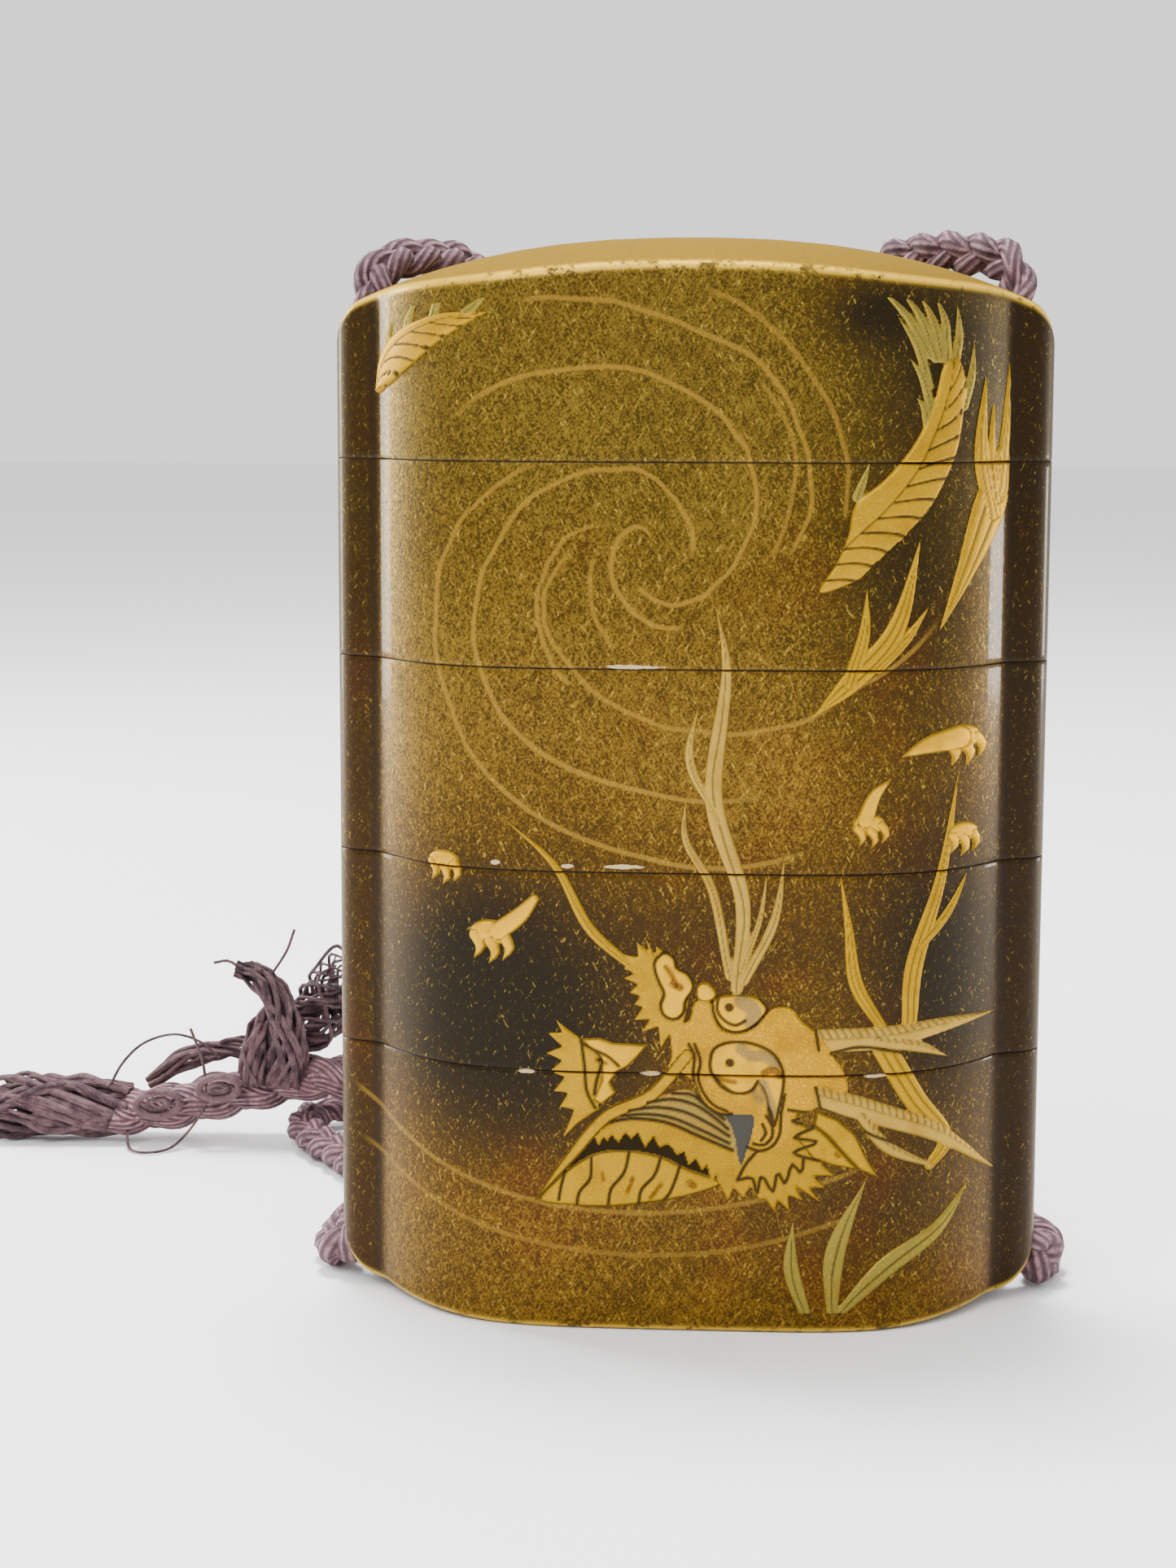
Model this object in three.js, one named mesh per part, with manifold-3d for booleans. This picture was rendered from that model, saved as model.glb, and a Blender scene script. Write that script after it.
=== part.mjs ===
// An inro: a small lacquered case worn on a cord, made of a lid and four cases stacked on one another.
// Each case has a lip that enters the piece above it. The cord runs down through both ends, and raised
// gold lacquer figures cross the seams of the faces.
// Millimetres, +X to the right of the front face, +Y to the back, +Z up.
// The origin is at the middle of the underside, on the surface that the case stands on.
import * as THREE from "three";
import { mergeVertices } from "three/addons/utils/BufferGeometryUtils.js";
import Module from "manifold-3d";

const wasm = await Module();
wasm.setup();

// The closed case
const CASE_WIDTH = 60; // over the two cord runners
const CASE_DEPTH = 26;
const CASE_HEIGHT = 90; // to the crown of the lid
const BASE_CASE_HEIGHT = 21.9; // the lowest case, up to its seam
const TRAY_HEIGHT = 16.6; // each of the other cases, from seam to seam
const TRAY_COUNT = 3;
const FACE_SQUARENESS = 4.5; // 2 gives a plainly curved face, and more gives a flatter one with rounder sides

// The cord runners, the two half round ridges down the ends
const RUNNER_PROUD = 3.6;
const RUNNER_THICKNESS = 6;
const RUNNER_WALL = 1.2; // lacquered wood left outside the cord hole
const RUNNER_TOP_ROUND = 2.2;
const RUNNER_FOOT_ROUND = 3.4;

// The domed lid and the underside
const CROWN_FALL_TO_ENDS = 6.1;
const CROWN_FALL_TO_FACES = 2.5;
const CROWN_POWER = 2.4;
const FOOT_LIFT = 1.6; // how far the underside rises at the ends
const FOOT_FLAT = 14; // half the width of the flat that the case stands on
const EDGE_ROUND = 0.8;

// Walls and joints
const FACE_WALL = 1.5; // where a lip stands inside the wall
const BORE_WALL = 1.2; // between the cord hole and the hollow
const LIP_WALL = 1.0;
const LIP_HEIGHT = 4;
const LIP_CLEARANCE = 0.15;
const LIP_HEADROOM = 0.3;
const TRAY_FLOOR = 1.3;
const BASE_FLOOR = 2.2;
const LID_THICKNESS = 2;
const HOLLOW_POWER = 3; // how square the hollows are in plan

// The cord
const CORD_DIAMETER = 3.3;
const CORD_CLEARANCE = 0.3; // all round the cord in its hole, and between the pieces of the cord
const MOUTH_WEAR = 0.25; // how much wider than the hole its worn mouth under the foot is
const KNOT_RADIUS = 4.6;
const LYING_GAP = 0.02; // under the knot and the brush, which lie on the surface with the case
const TAIL_DIAMETER = 4.4; // both ends of the cord plaited together
const TASSEL_LENGTH = 17;
const TASSEL_RADIUS = 3.2;
const TUFT_LENGTH = 11.5;
const TUFT_RADIUS = 2.4;

// The raised lacquer
const RELIEF_HEIGHT = 0.45;
const RELIEF_ROOT = 0.5; // how far the figures reach into the wall that carries them
const RELIEF_MARGIN = 1; // kept clear of the rounded edges
const DRAWN_HALF_WIDTH = 26.4; // the figures are drawn on a face of this half width and height
const DRAWN_HEIGHT = 90;

// How finely round shapes are divided
const FACE_STEPS = 12;
const RUNNER_STEPS = 6;
const BORE_SIDES = 16;
const RIBBON_STEPS = 2; // between one point of a band and the next
const CORD_SIDES = 8;

// Places worked out from the sizes
const halfWidth = CASE_WIDTH / 2;
const halfDepth = CASE_DEPTH / 2;
const valley = halfWidth - RUNNER_PROUD; // where the face meets the runner
const runnerHalf = RUNNER_THICKNESS / 2;
const boreRadius = CORD_DIAMETER / 2 + CORD_CLEARANCE;
const boreX = halfWidth - RUNNER_WALL - boreRadius;
const seams = Array.from({ length: TRAY_COUNT + 1 }, (_, i) => BASE_CASE_HEIGHT + i * TRAY_HEIGHT);
const recess = { a: boreX - boreRadius - BORE_WALL, b: halfDepth - FACE_WALL };
const lip = { a: recess.a - LIP_CLEARANCE, b: recess.b - LIP_CLEARANCE };
const hollow = { a: lip.a - LIP_WALL, b: lip.b - LIP_WALL };

// Half the depth of the body at a distance x from the middle
function faceReach(x) {
  const share = Math.min(1, Math.abs(x) / valley);
  return runnerHalf + (halfDepth - runnerHalf) * (1 - share ** FACE_SQUARENESS);
}

// The drop of a quarter round of this radius at the far end of a runner
function endRound(x, radius) {
  const into = Math.min(radius, Math.max(0, Math.abs(x) - (halfWidth - radius)));
  return radius - Math.sqrt(radius * radius - into * into);
}

function topHeight(x, y) {
  const toEnds = CROWN_FALL_TO_ENDS * (Math.abs(x) / halfWidth) ** CROWN_POWER;
  const toFaces = CROWN_FALL_TO_FACES * (y / halfDepth) ** 2;
  return CASE_HEIGHT - toEnds - toFaces - endRound(x, RUNNER_TOP_ROUND);
}

function footHeight(x) {
  const out = Math.max(0, Math.abs(x) - FOOT_FLAT) / (halfWidth - FOOT_FLAT);
  return FOOT_LIFT * out ** 2 + endRound(x, RUNNER_FOOT_ROUND);
}

// The plan of the case, counter-clockwise from the left end of the front face
function planPoints() {
  const points = [];
  for (const side of [-1, 1]) {
    for (let i = 0; i <= FACE_STEPS; i++) {
      const x = -side * valley * Math.sin((i / FACE_STEPS - 0.5) * Math.PI);
      points.push(new THREE.Vector2(x, side * faceReach(x)));
    }
    for (let i = 1; i < RUNNER_STEPS; i++) {
      const turn = (i / RUNNER_STEPS - 0.5) * Math.PI;
      const x = valley + RUNNER_PROUD * Math.cos(turn);
      points.push(new THREE.Vector2(-side * x, -side * runnerHalf * Math.sin(turn)));
    }
  }
  return points;
}
const plan = planPoints();
const outward = plan.map((_, i) => {
  const before = plan[(i + plan.length - 1) % plan.length];
  const after = plan[(i + 1) % plan.length];
  return new THREE.Vector2(after.y - before.y, before.x - after.x).normalize();
});

// The plan grown by a distance, or shrunk by a negative one
const grownPlan = (by) => plan.map((p, i) => p.clone().addScaledVector(outward[i], by));

// The plan of a hollow or a lip, with one point in line with each point of the case's plan
function roundedPlan({ a, b }) {
  return plan.map((p) => {
    const turn = Math.atan2(p.y, p.x);
    const across = Math.abs(Math.cos(turn) / a) ** HOLLOW_POWER;
    const deep = Math.abs(Math.sin(turn) / b) ** HOLLOW_POWER;
    const reach = (across + deep) ** (-1 / HOLLOW_POWER);
    return new THREE.Vector2(reach * Math.cos(turn), reach * Math.sin(turn));
  });
}

// A ring of points on a plan, at one height or at a height worked out for each point
function ring(points, height) {
  const at = typeof height === "number" ? () => height : height;
  return points.map((p) => new THREE.Vector3(p.x, p.y, at(p.x, p.y)));
}
const scaled = (points, by) => points.map((p) => p.clone().multiplyScalar(by));

// A closed body from rings in order, each joined to the next. The first and last rings shrink to one point.
function stackedBody(rings) {
  const count = rings[0].length;
  const positions = rings.flat().flatMap((p) => [p.x, p.y, p.z]);
  const index = [];
  for (let r = 0; r + 1 < rings.length; r++) {
    for (let i = 0; i < count; i++) {
      const next = (i + 1) % count;
      const [a, b, c, d] = [r * count + i, r * count + next, (r + 1) * count + next, (r + 1) * count + i];
      if (r > 0) index.push(a, b, c);
      if (r + 2 < rings.length || r === 0) index.push(a, c, d);
    }
  }
  const geometry = new THREE.BufferGeometry();
  geometry.setAttribute("position", new THREE.Float32BufferAttribute(positions, 3));
  geometry.setIndex(index);
  return solidOf(geometry);
}

// A manifold-3d solid from a closed three.js geometry
function solidOf(geometry) {
  const bare = geometry.clone();
  bare.deleteAttribute("normal");
  bare.deleteAttribute("uv");
  const merged = mergeVertices(bare, 1e-4);
  return new wasm.Manifold(
    new wasm.Mesh({
      numProp: 3,
      vertProperties: merged.attributes.position.array,
      triVerts: new Uint32Array(merged.index.array),
    }),
  );
}

// The way back, for a THREE.Mesh
function geometryOf(solid) {
  const { vertProperties, triVerts, numProp } = solid.getMesh();
  const count = vertProperties.length / numProp;
  const positions = new Float32Array(count * 3);
  for (let i = 0; i < count; i++) positions.set(vertProperties.subarray(i * numProp, i * numProp + 3), i * 3);
  const geometry = new THREE.BufferGeometry();
  geometry.setAttribute("position", new THREE.BufferAttribute(positions, 3));
  geometry.setIndex(new THREE.BufferAttribute(new Uint32Array(triVerts), 1));
  geometry.computeVertexNormals();
  return geometry;
}

// A box between two corners
function block(low, high) {
  const size = high.map((h, i) => h - low[i]);
  const geometry = new THREE.BoxGeometry(...size);
  geometry.translate(...low.map((l, i) => l + size[i] / 2));
  return solidOf(geometry);
}

// A straight sided body on a plan, between two heights
function prism(points, low, high) {
  return stackedBody([
    ring(scaled(points, 0), low),
    ring(points, low),
    ring(points, high),
    ring(scaled(points, 0), high),
  ]);
}

// The rounded edge and the cap of the lid or of the underside, from the wall to the middle.
// side is 1 for the lid and -1 for the underside.
function capRings(height, side) {
  const rings = [];
  for (const turn of [0, Math.PI / 4, Math.PI / 2]) {
    const inset = grownPlan(-EDGE_ROUND * (1 - Math.cos(turn)));
    rings.push(ring(inset, (x, y) => height(x, y) - side * EDGE_ROUND * (1 - Math.sin(turn))));
  }
  const edge = grownPlan(-EDGE_ROUND);
  for (const share of [0.86, 0.5, 0]) rings.push(ring(scaled(edge, share), height));
  return rings;
}

// The lip at the top of a case, and the hollow down to its floor
function lipAndHollow(seam, floor) {
  const [outer, inner] = [roundedPlan(lip), roundedPlan(hollow)];
  return [
    ring(outer, seam),
    ring(outer, seam + LIP_HEIGHT),
    ring(inner, seam + LIP_HEIGHT),
    ring(inner, floor),
    ring(scaled(inner, 0), floor),
  ];
}

function lidBody(seam) {
  const inside = roundedPlan(recess);
  const ceiling = (x, y) => topHeight(x, y) - LID_THICKNESS;
  return stackedBody([
    ring(scaled(inside, 0), ceiling),
    ring(scaled(inside, 0.6), ceiling),
    ring(inside, ceiling),
    ring(inside, seam),
    ring(plan, seam),
    ...capRings(topHeight, 1),
  ]);
}

function trayBody(low, high) {
  const under = roundedPlan(recess);
  const ceiling = low + LIP_HEIGHT + LIP_HEADROOM;
  return stackedBody([
    ring(scaled(under, 0), ceiling),
    ring(under, ceiling),
    ring(under, low),
    ring(plan, low),
    ring(plan, high),
    ...lipAndHollow(high, ceiling + TRAY_FLOOR),
  ]);
}

function baseBody(high) {
  const foot = capRings(footHeight, -1).reverse();
  return stackedBody([...foot, ring(plan, high), ...lipAndHollow(high, BASE_FLOOR)]);
}

// The hole down each end for the cord
function bores() {
  const made = [-1, 1].map((side) => {
    const round = new THREE.CylinderGeometry(boreRadius, boreRadius, 2 * CASE_HEIGHT, BORE_SIDES);
    round.rotateX(Math.PI / 2);
    round.translate(side * boreX, 0, CASE_HEIGHT / 2);
    return solidOf(round);
  });
  return made[0].add(made[1]);
}

// A round cord along a route, with a ring of its surface at each point of the route.
class HandRoute extends THREE.CatmullRomCurve3 {
  getSpacedPoints() {
    return this.points.map((_, i) => this.getPoint(i / (this.points.length - 1)));
  }
  getTangentAt(share, target) {
    return this.getTangent(share, target);
  }
}
function cordGeometry(route, diameter, sides) {
  const curve = new HandRoute(route.map((p) => new THREE.Vector3(...p)), false, "centripetal");
  const section = new THREE.Shape(
    Array.from({ length: sides }, (_, i) => {
      const turn = ((i + 0.5) / sides) * 2 * Math.PI;
      return new THREE.Vector2(Math.cos(turn), Math.sin(turn)).multiplyScalar(diameter / 2);
    }),
  );
  const steps = route.length - 1;
  return new THREE.ExtrudeGeometry(section, { steps, extrudePath: curve, bevelEnabled: false });
}

// The way of the cord from inside the right hole out under the foot of its runner
const footRoute = [
  [boreX, 0, 12], [boreX + 0.1, 0.1, 8.6], [boreX + 0.5, 0.6, 6.2], [boreX + 1.3, 1.5, 4.2],
  [boreX + 2.4, 3.1, 2.6], [boreX + 3.4, 5.6, 1.9], [boreX + 4, 9.4, 1.8],
];
const mirrored = (route) => route.map(([x, y, z]) => [-x, y, z]);

// The worn mouths under the feet of the runners, where the cord turns out onto the surface
function cordExits() {
  const right = solidOf(cordGeometry(footRoute, 2 * (boreRadius + MOUTH_WEAR), 12));
  return right.add(right.mirror([1, 0, 0]));
}

// The figures are outlines on the drawn face, x to the right and z up.
const across = (x) => (x / DRAWN_HALF_WIDTH) * valley;
const up = (z) => (z / DRAWN_HEIGHT) * CASE_HEIGHT;

function curveThrough(points) {
  const places = points.map(([x, z]) => new THREE.Vector3(x, 0, z));
  return new THREE.CatmullRomCurve3(places, false, "centripetal");
}

// A smooth band through two or more points, with its width at each of them. A width of 0 is a point.
function ribbon(points, widths, steps = RIBBON_STEPS) {
  const curve = curveThrough(points);
  const count = (points.length - 1) * steps;
  const [left, right] = [[], []];
  for (let i = 0; i <= count; i++) {
    const place = curve.getPoint(i / count);
    const along = curve.getTangent(i / count);
    const [from, part] = [Math.floor(i / steps), (i % steps) / steps];
    const next = widths[Math.min(from + 1, widths.length - 1)];
    const half = (widths[from] + (next - widths[from]) * Math.sin((part * Math.PI) / 2)) / 2;
    left.push([place.x - along.z * half, place.z + along.x * half]);
    if (half > 0) right.unshift([place.x + along.z * half, place.z - along.x * half]);
  }
  return [...left, ...right];
}

// An oval whose edge is cut into teeth over part of its turn, given in degrees
function frill([x, z], rx, rz, teeth = 0, tooth = 0, from = 0, to = 360) {
  const points = [];
  const plainSteps = teeth ? 6 : 10;
  for (let i = 0; i < teeth; i++) {
    for (const [share, out] of [[0, 0], [0.6, tooth]]) {
      const turn = THREE.MathUtils.degToRad(from + ((to - from) * (i + share)) / teeth);
      points.push([x + (rx + out) * Math.cos(turn), z + (rz + out) * Math.sin(turn)]);
    }
  }
  const rest = teeth ? 360 - (to - from) : 360;
  for (let i = 0; i < plainSteps; i++) {
    const turn = THREE.MathUtils.degToRad((teeth ? to : 0) + (rest * i) / plainSteps);
    points.push([x + rx * Math.cos(turn), z + rz * Math.sin(turn)]);
  }
  return points;
}

// A row of small fins along one side of a curve. side is 1 for the left of its direction.
function fins(points, { from, to, count, offset, length, width, side = 1 }) {
  const curve = curveThrough(points);
  return Array.from({ length: count }, (_, i) => {
    const t = from + ((to - from) * i) / (count - 1);
    const [place, along] = [curve.getPoint(t), curve.getTangent(t)];
    const at = (out, back) => [
      place.x - side * along.z * out - along.x * back,
      place.z + side * along.x * out - along.z * back,
    ];
    const points = [at(offset, 0), at(offset + length * 0.6, length * 0.3), at(offset + length, length)];
    return ribbon(points, [width, width, 0], 1);
  });
}

// A small paw with three hooked claws, turned by an angle in degrees
function paw([x, z], size, turnDegrees) {
  const turn = THREE.MathUtils.degToRad(turnDegrees);
  const at = (a, b) => [
    x + size * (a * Math.cos(turn) - b * Math.sin(turn)),
    z + size * (a * Math.sin(turn) + b * Math.cos(turn)),
  ];
  const claw = (a, b) =>
    ribbon([at(a, b), at(a + 0.25, b - 0.5), at(a - 0.1, b - 1.15)], [size * 0.6, size * 0.5, 0], 1);
  return [frill(at(0, 0.25), size * 0.95, size * 0.6), claw(-0.7, 0.1), claw(0, -0.1), claw(0.65, 0.1)];
}

const dragonHead = [
  frill([7.9, 23.4], 4.8, 3.5),
  frill([8.2, 25.8], 2, 1.7),
  frill([6.8, 18.5], 4.4, 4.1),
  frill([3.6, 27.4], 1.9, 1.9),
  frill([4.6, 22.9], 2.5, 2.4),
  frill([7.5, 15.7], 4.1, 3.7, 11, 1.4, 205, 372),
  ribbon([[1.5, 29], [0.5, 25.8], [0.9, 21.2]], [1.3, 3.1, 2]),
  frill([-2.6, 28.8], 1.7, 3.5, 12, 1.3, 60, 268),
  ribbon([[-1.8, 32.3], [-0.9, 29.7], [-0.6, 26.5]], [1.5, 3.1, 1.6]),
  ribbon([[0.4, 23.5], [-2.5, 20.1], [-6.2, 18.2], [-9.1, 14.8], [-12.5, 10.4]], [1.1, 1.1, 1.1, 0.9, 0]),
  ribbon([[-7.8, 16.4], [-4.1, 17.7], [0.8, 16.6], [4.5, 12.9]], [0.4, 1.9, 2.9, 1.7]),
  ribbon([[-6.4, 18.3], [-1.9, 19.2], [4.5, 17]], [0.7, 2.3, 2.7]),
  ribbon([[-11.7, 10.6], [-6.2, 12.8], [-0.5, 12.8], [3.3, 12.6]], [0, 4, 3.1, 0]),
  frill([-9, 21], 1.5, 4.1, 9, 1.4, 98, 262),
  ribbon([[-8.2, 23.3], [-5.8, 23.4], [-2.8, 24.3]], [2, 1.6, 0]),
  ribbon([[-6.9, 23.1], [-6, 21.1], [-7.4, 19.1]], [1.6, 1.5, 0.4]),
  ribbon([[10.8, 19.2], [13.5, 17.1], [16.2, 13.2]], [1.7, 1.7, 0]),
  ribbon([[10.3, 16.6], [12.8, 14.9], [15, 14.2]], [2, 1.7, 0.3]),
];
const horns = [
  ribbon([[10.7, 24.8], [16.7, 25], [21.5, 25.6], [26.1, 25.8]], [2, 1.9, 1.2, 0]),
  ribbon([[16, 24.7], [19.4, 24], [21.9, 22.8]], [1.1, 1, 0]),
  ribbon([[10.8, 20.3], [15.5, 18.8], [21, 16.5], [26.6, 11.7]], [1.9, 2, 1.5, 0]),
  ribbon([[14.7, 18.4], [16.7, 15.9], [20.4, 13.9]], [0.9, 1.1, 0.4]),
];
const whiskers = [
  ribbon([[-3.7, 30.4], [-7.6, 33.8], [-10.6, 39.1], [-14.7, 42.7]], [0.7, 0.9, 0.6, 0]),
  ribbon([[4.4, 29.1], [4.8, 36.2], [2.4, 44.5], [3.3, 55.4], [2.4, 60.3]], [1.1, 1.3, 1.5, 0.8, 0]),
  ribbon([[2.9, 42.8], [0.4, 47.8], [1.1, 52.3]], [0.5, 0.8, 0]),
  ribbon([[3.8, 30.1], [2.2, 37.5], [0.1, 41.4], [0.1, 44.6]], [0.8, 0.8, 0.6, 0]),
  ribbon([[5, 29.7], [7.4, 34.8], [8.2, 40.2]], [0.8, 0.8, 0]),
  ribbon([[4.7, 30.4], [6.2, 34.8], [6.8, 38.9]], [0.5, 0.5, 0]),
];
const flames = [
  ribbon([[16.2, 25.9], [14.1, 29.5], [13.4, 34.2], [12.6, 39]], [0.9, 1.2, 0.7, 0]),
  ribbon([[18.5, 26.1], [18.8, 30.6], [20.9, 37.8], [22.3, 46.7]], [1.3, 1.5, 0.9, 0]),
  ribbon([[19.3, 32.4], [21.6, 35], [23.3, 38.3]], [0.8, 0.7, 0]),
  ribbon([[16.5, 24], [19, 19.7], [21.7, 15.7], [20.4, 13.8]], [2, 1.9, 1.3, 0.8]),
  ribbon([[20.4, 58.1], [22.6, 63.1], [24.5, 68.1], [25.6, 72.2]], [0, 1.6, 2.8, 1.6]),
  ribbon([[24.7, 67.6], [23.7, 72.2], [24, 79.1]], [1.3, 1.2, 0]),
  ribbon([[25.1, 68.8], [24.6, 72.2], [24.7, 77]], [1.1, 0.8, 0]),
  ribbon([[25.5, 69.5], [26.1, 76.2], [26.4, 84.5]], [1.3, 0.9, 0]),
  ribbon([[10.2, 51.3], [13.3, 54.2], [16.7, 58.1], [18.8, 65.8]], [0, 1.7, 1.6, 0]),
  ribbon([[13.2, 54.2], [14.3, 58], [14.5, 61.8]], [1.2, 1, 0]),
  ribbon([[15.5, 55.3], [17.7, 57.6], [19.6, 60.3]], [0.9, 0.8, 0]),
];
const coilRight = [
  ribbon([[10.5, 61.4], [13.8, 65.3], [17.3, 69.6], [20.1, 74.4], [21, 80.3]], [0, 3.1, 4.1, 3.2, 1.1]),
  ribbon([[19.2, 80.3], [17.3, 83.3], [14.9, 85.6]], [0.8, 0.7, 0], 1),
  ribbon([[19.7, 80], [18.4, 83.2], [16.6, 85.5]], [0.8, 0.7, 0], 1),
  ribbon([[20.2, 80], [19.4, 83], [18.2, 85.1]], [0.8, 0.7, 0], 1),
  ribbon([[20.6, 80], [20.4, 82.9], [19.6, 84.9]], [0.8, 0.7, 0], 1),
  ribbon([[19.2, 77.8], [18.2, 80.9], [16.6, 83.2]], [0.8, 0.7, 0], 1),
  ribbon([[19.4, 75.9], [18.7, 78.4], [17.6, 80]], [0.8, 0.7, 0], 1),
  ribbon([[19.2, 74.2], [18.9, 76], [18.2, 76.9]], [0.8, 0.7, 0], 1),
  ribbon([[21.3, 79.7], [21.6, 81.9], [21.4, 84.4]], [0.8, 0.7, 0], 1),
  ribbon([[22.1, 76.2], [22.7, 78.6], [22.9, 81.4]], [0.8, 0.7, 0], 1),
  ribbon([[13.6, 69], [14.1, 70.4], [14.6, 71.9]], [0.9, 0.6, 0], 1),
];
const coilLeft = [
  ribbon([[-25.9, 77.7], [-23.1, 81], [-19.6, 82.9], [-16, 83.7]], [0, 2, 1.7, 0]),
  ribbon([[-24.7, 80.2], [-24.9, 81.5], [-24.5, 83.2]], [0.9, 0.7, 0], 1),
  ribbon([[-23.1, 82.1], [-22.9, 83.2], [-22.2, 84.7]], [0.9, 0.7, 0], 1),
  ribbon([[-20.7, 83.1], [-20.4, 84.2], [-19.6, 85.6]], [0.9, 0.7, 0], 1),
  ribbon([[-17.9, 83.5], [-17.1, 84.1], [-16, 85.1]], [0.9, 0.7, 0], 1),
];
const reeds = [
  ribbon([[10.4, 1.5], [9.1, 5.6], [9.2, 9.7]], [0.9, 1.3, 0]),
  ribbon([[12.5, 1.5], [12.7, 6.9], [15.2, 13.2]], [0.9, 1.7, 0]),
  ribbon([[12.8, 1.5], [17, 5.6], [21.3, 8.4], [23.9, 11.9]], [0.7, 1.7, 1.2, 0]),
];
const paws = [
  ...paw([-19.9, 38.6], 1.4, 0),
  ...paw([-15.9, 32.8], 1.8, 0),
  ribbon([[-15.2, 33.4], [-13.4, 34.8], [-12.2, 36.2]], [1.6, 1.4, 0.8]),
  ...paw([22.6, 49], 1.7, 12),
  ribbon([[22.2, 49.4], [19.6, 48.9], [17.4, 48]], [2, 1.4, 0]),
  ...paw([15, 42.3], 1.4, 8),
  ribbon([[14.6, 43], [15.4, 45], [16.8, 46.4]], [1.4, 1, 0]),
  ...paw([22.7, 41.2], 1.4, 0),
];
const frontFigures = [
  ...dragonHead, ...horns, ...whiskers, ...flames, ...reeds, ...coilRight, ...coilLeft, ...paws,
];

// The back carries the rest of the dragon, more plainly drawn.
const backBody = [[22, 82], [17.5, 72], [8, 62], [-4, 54.5], [-13, 44]];
const backTail = [[-7, 41], [-16.6, 33], [-19.6, 22], [-12, 12.6], [2, 9.4]];
const backFigures = [
  ribbon(backBody, [0, 5, 6.4, 5, 0]),
  ...fins(backBody, { from: 0.14, to: 0.84, count: 8, offset: 2.2, length: 3, width: 1.2, side: -1 }),
  ribbon(backTail, [0, 3.8, 4.6, 3.2, 0]),
  ...fins(backTail, { from: 0.2, to: 0.8, count: 7, offset: 1.8, length: 2.4, width: 1, side: -1 }),
  ribbon([[0, 9.6], [6, 8], [13, 10.4]], [1.2, 1.8, 0]),
  ribbon([[0, 9.6], [5, 10.6], [10.6, 14.6]], [1, 1.5, 0]),
  ribbon([[0, 9.6], [6, 6], [12, 5.4]], [1, 1.5, 0]),
  ribbon([[10, 42], [16, 50], [19, 63]], [0, 2.2, 0]),
  ribbon([[13, 45.5], [20, 49], [23.6, 56]], [1.2, 1.5, 0]),
  ribbon([[-23, 58], [-20, 67], [-14, 76]], [0, 2, 0]),
  ribbon([[-22, 62], [-22.6, 70], [-19.6, 78]], [1, 1.4, 0]),
  ribbon([[4, 18], [13, 24], [21, 36]], [0, 2.4, 0]),
  ...paw([7.4, 52.6], 2, 20),
  ...paw([-6.6, 26.4], 1.8, -10),
];

// An outline of the drawn face as a body right through the case from front to back
function figureBody(points) {
  const shape = new THREE.Shape(points.map(([x, z]) => new THREE.Vector2(across(x), up(z))));
  const geometry = new THREE.ExtrudeGeometry(shape, { depth: CASE_DEPTH, bevelEnabled: false });
  geometry.rotateX(Math.PI / 2);
  return solidOf(geometry);
}

// The part of a face that may carry figures, clear of its rounded edges
function panel() {
  const steps = Array.from({ length: FACE_STEPS + 1 }, (_, i) => (i / FACE_STEPS) * 2 - 1);
  const xs = steps.map((share) => share * (valley - EDGE_ROUND / 2));
  const margin = EDGE_ROUND + RELIEF_MARGIN;
  const upper = xs.map((x) => new THREE.Vector2(x, topHeight(x, faceReach(x)) - margin));
  const lower = xs.map((x) => new THREE.Vector2(x, footHeight(x) + margin)).reverse();
  const geometry = new THREE.ExtrudeGeometry(new THREE.Shape([...upper, ...lower]), {
    depth: 2 * CASE_DEPTH,
    bevelEnabled: false,
  });
  geometry.rotateX(Math.PI / 2);
  geometry.translate(0, CASE_DEPTH, 0);
  return solidOf(geometry);
}

// The raised figures of both faces, as a thin skin that is rooted in the walls
function reliefSkin() {
  const front = wasm.Manifold.union(frontFigures.map(figureBody));
  const back = wasm.Manifold.union(backFigures.map(figureBody)).translate([0, CASE_DEPTH, 0]);
  const skin = prism(grownPlan(RELIEF_HEIGHT), 0, CASE_HEIGHT).subtract(
    prism(grownPlan(-RELIEF_ROOT), -1, CASE_HEIGHT + 1),
  );
  return front.add(back).intersect(panel()).intersect(skin);
}

const lacquer = new THREE.MeshStandardMaterial({ color: 0x6e5320, roughness: 0.35, metalness: 0.45 });
const silk = new THREE.MeshStandardMaterial({ color: 0x7d5f72, roughness: 0.9, metalness: 0 });

const group = new THREE.Group();
function place(name, geometry, material) {
  const mesh = new THREE.Mesh(geometry, material);
  mesh.name = name;
  group.add(mesh);
  return mesh;
}

// The lid and the cases, each with its share of the figures and with the cord holes through it
function stackCases() {
  const holes = bores();
  const relief = reliefSkin();
  const between = (low, high) => relief.intersect(
    block([-CASE_WIDTH, -CASE_DEPTH, low], [CASE_WIDTH, CASE_DEPTH, high]),
  );
  const top = seams[TRAY_COUNT];
  place("lid", geometryOf(lidBody(top).add(between(top, CASE_HEIGHT)).subtract(holes)), lacquer);
  for (let i = TRAY_COUNT; i > 0; i--) {
    const [low, high] = [seams[i - 1], seams[i]];
    const body = trayBody(low, high).add(between(low, high)).subtract(holes);
    place(`case_${TRAY_COUNT + 1 - i}`, geometryOf(body), lacquer);
  }
  const base = baseBody(seams[0]).add(between(0, seams[0])).subtract(holes).subtract(cordExits());
  place(`case_${TRAY_COUNT + 1}`, geometryOf(base), lacquer);
}
stackCases();

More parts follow.
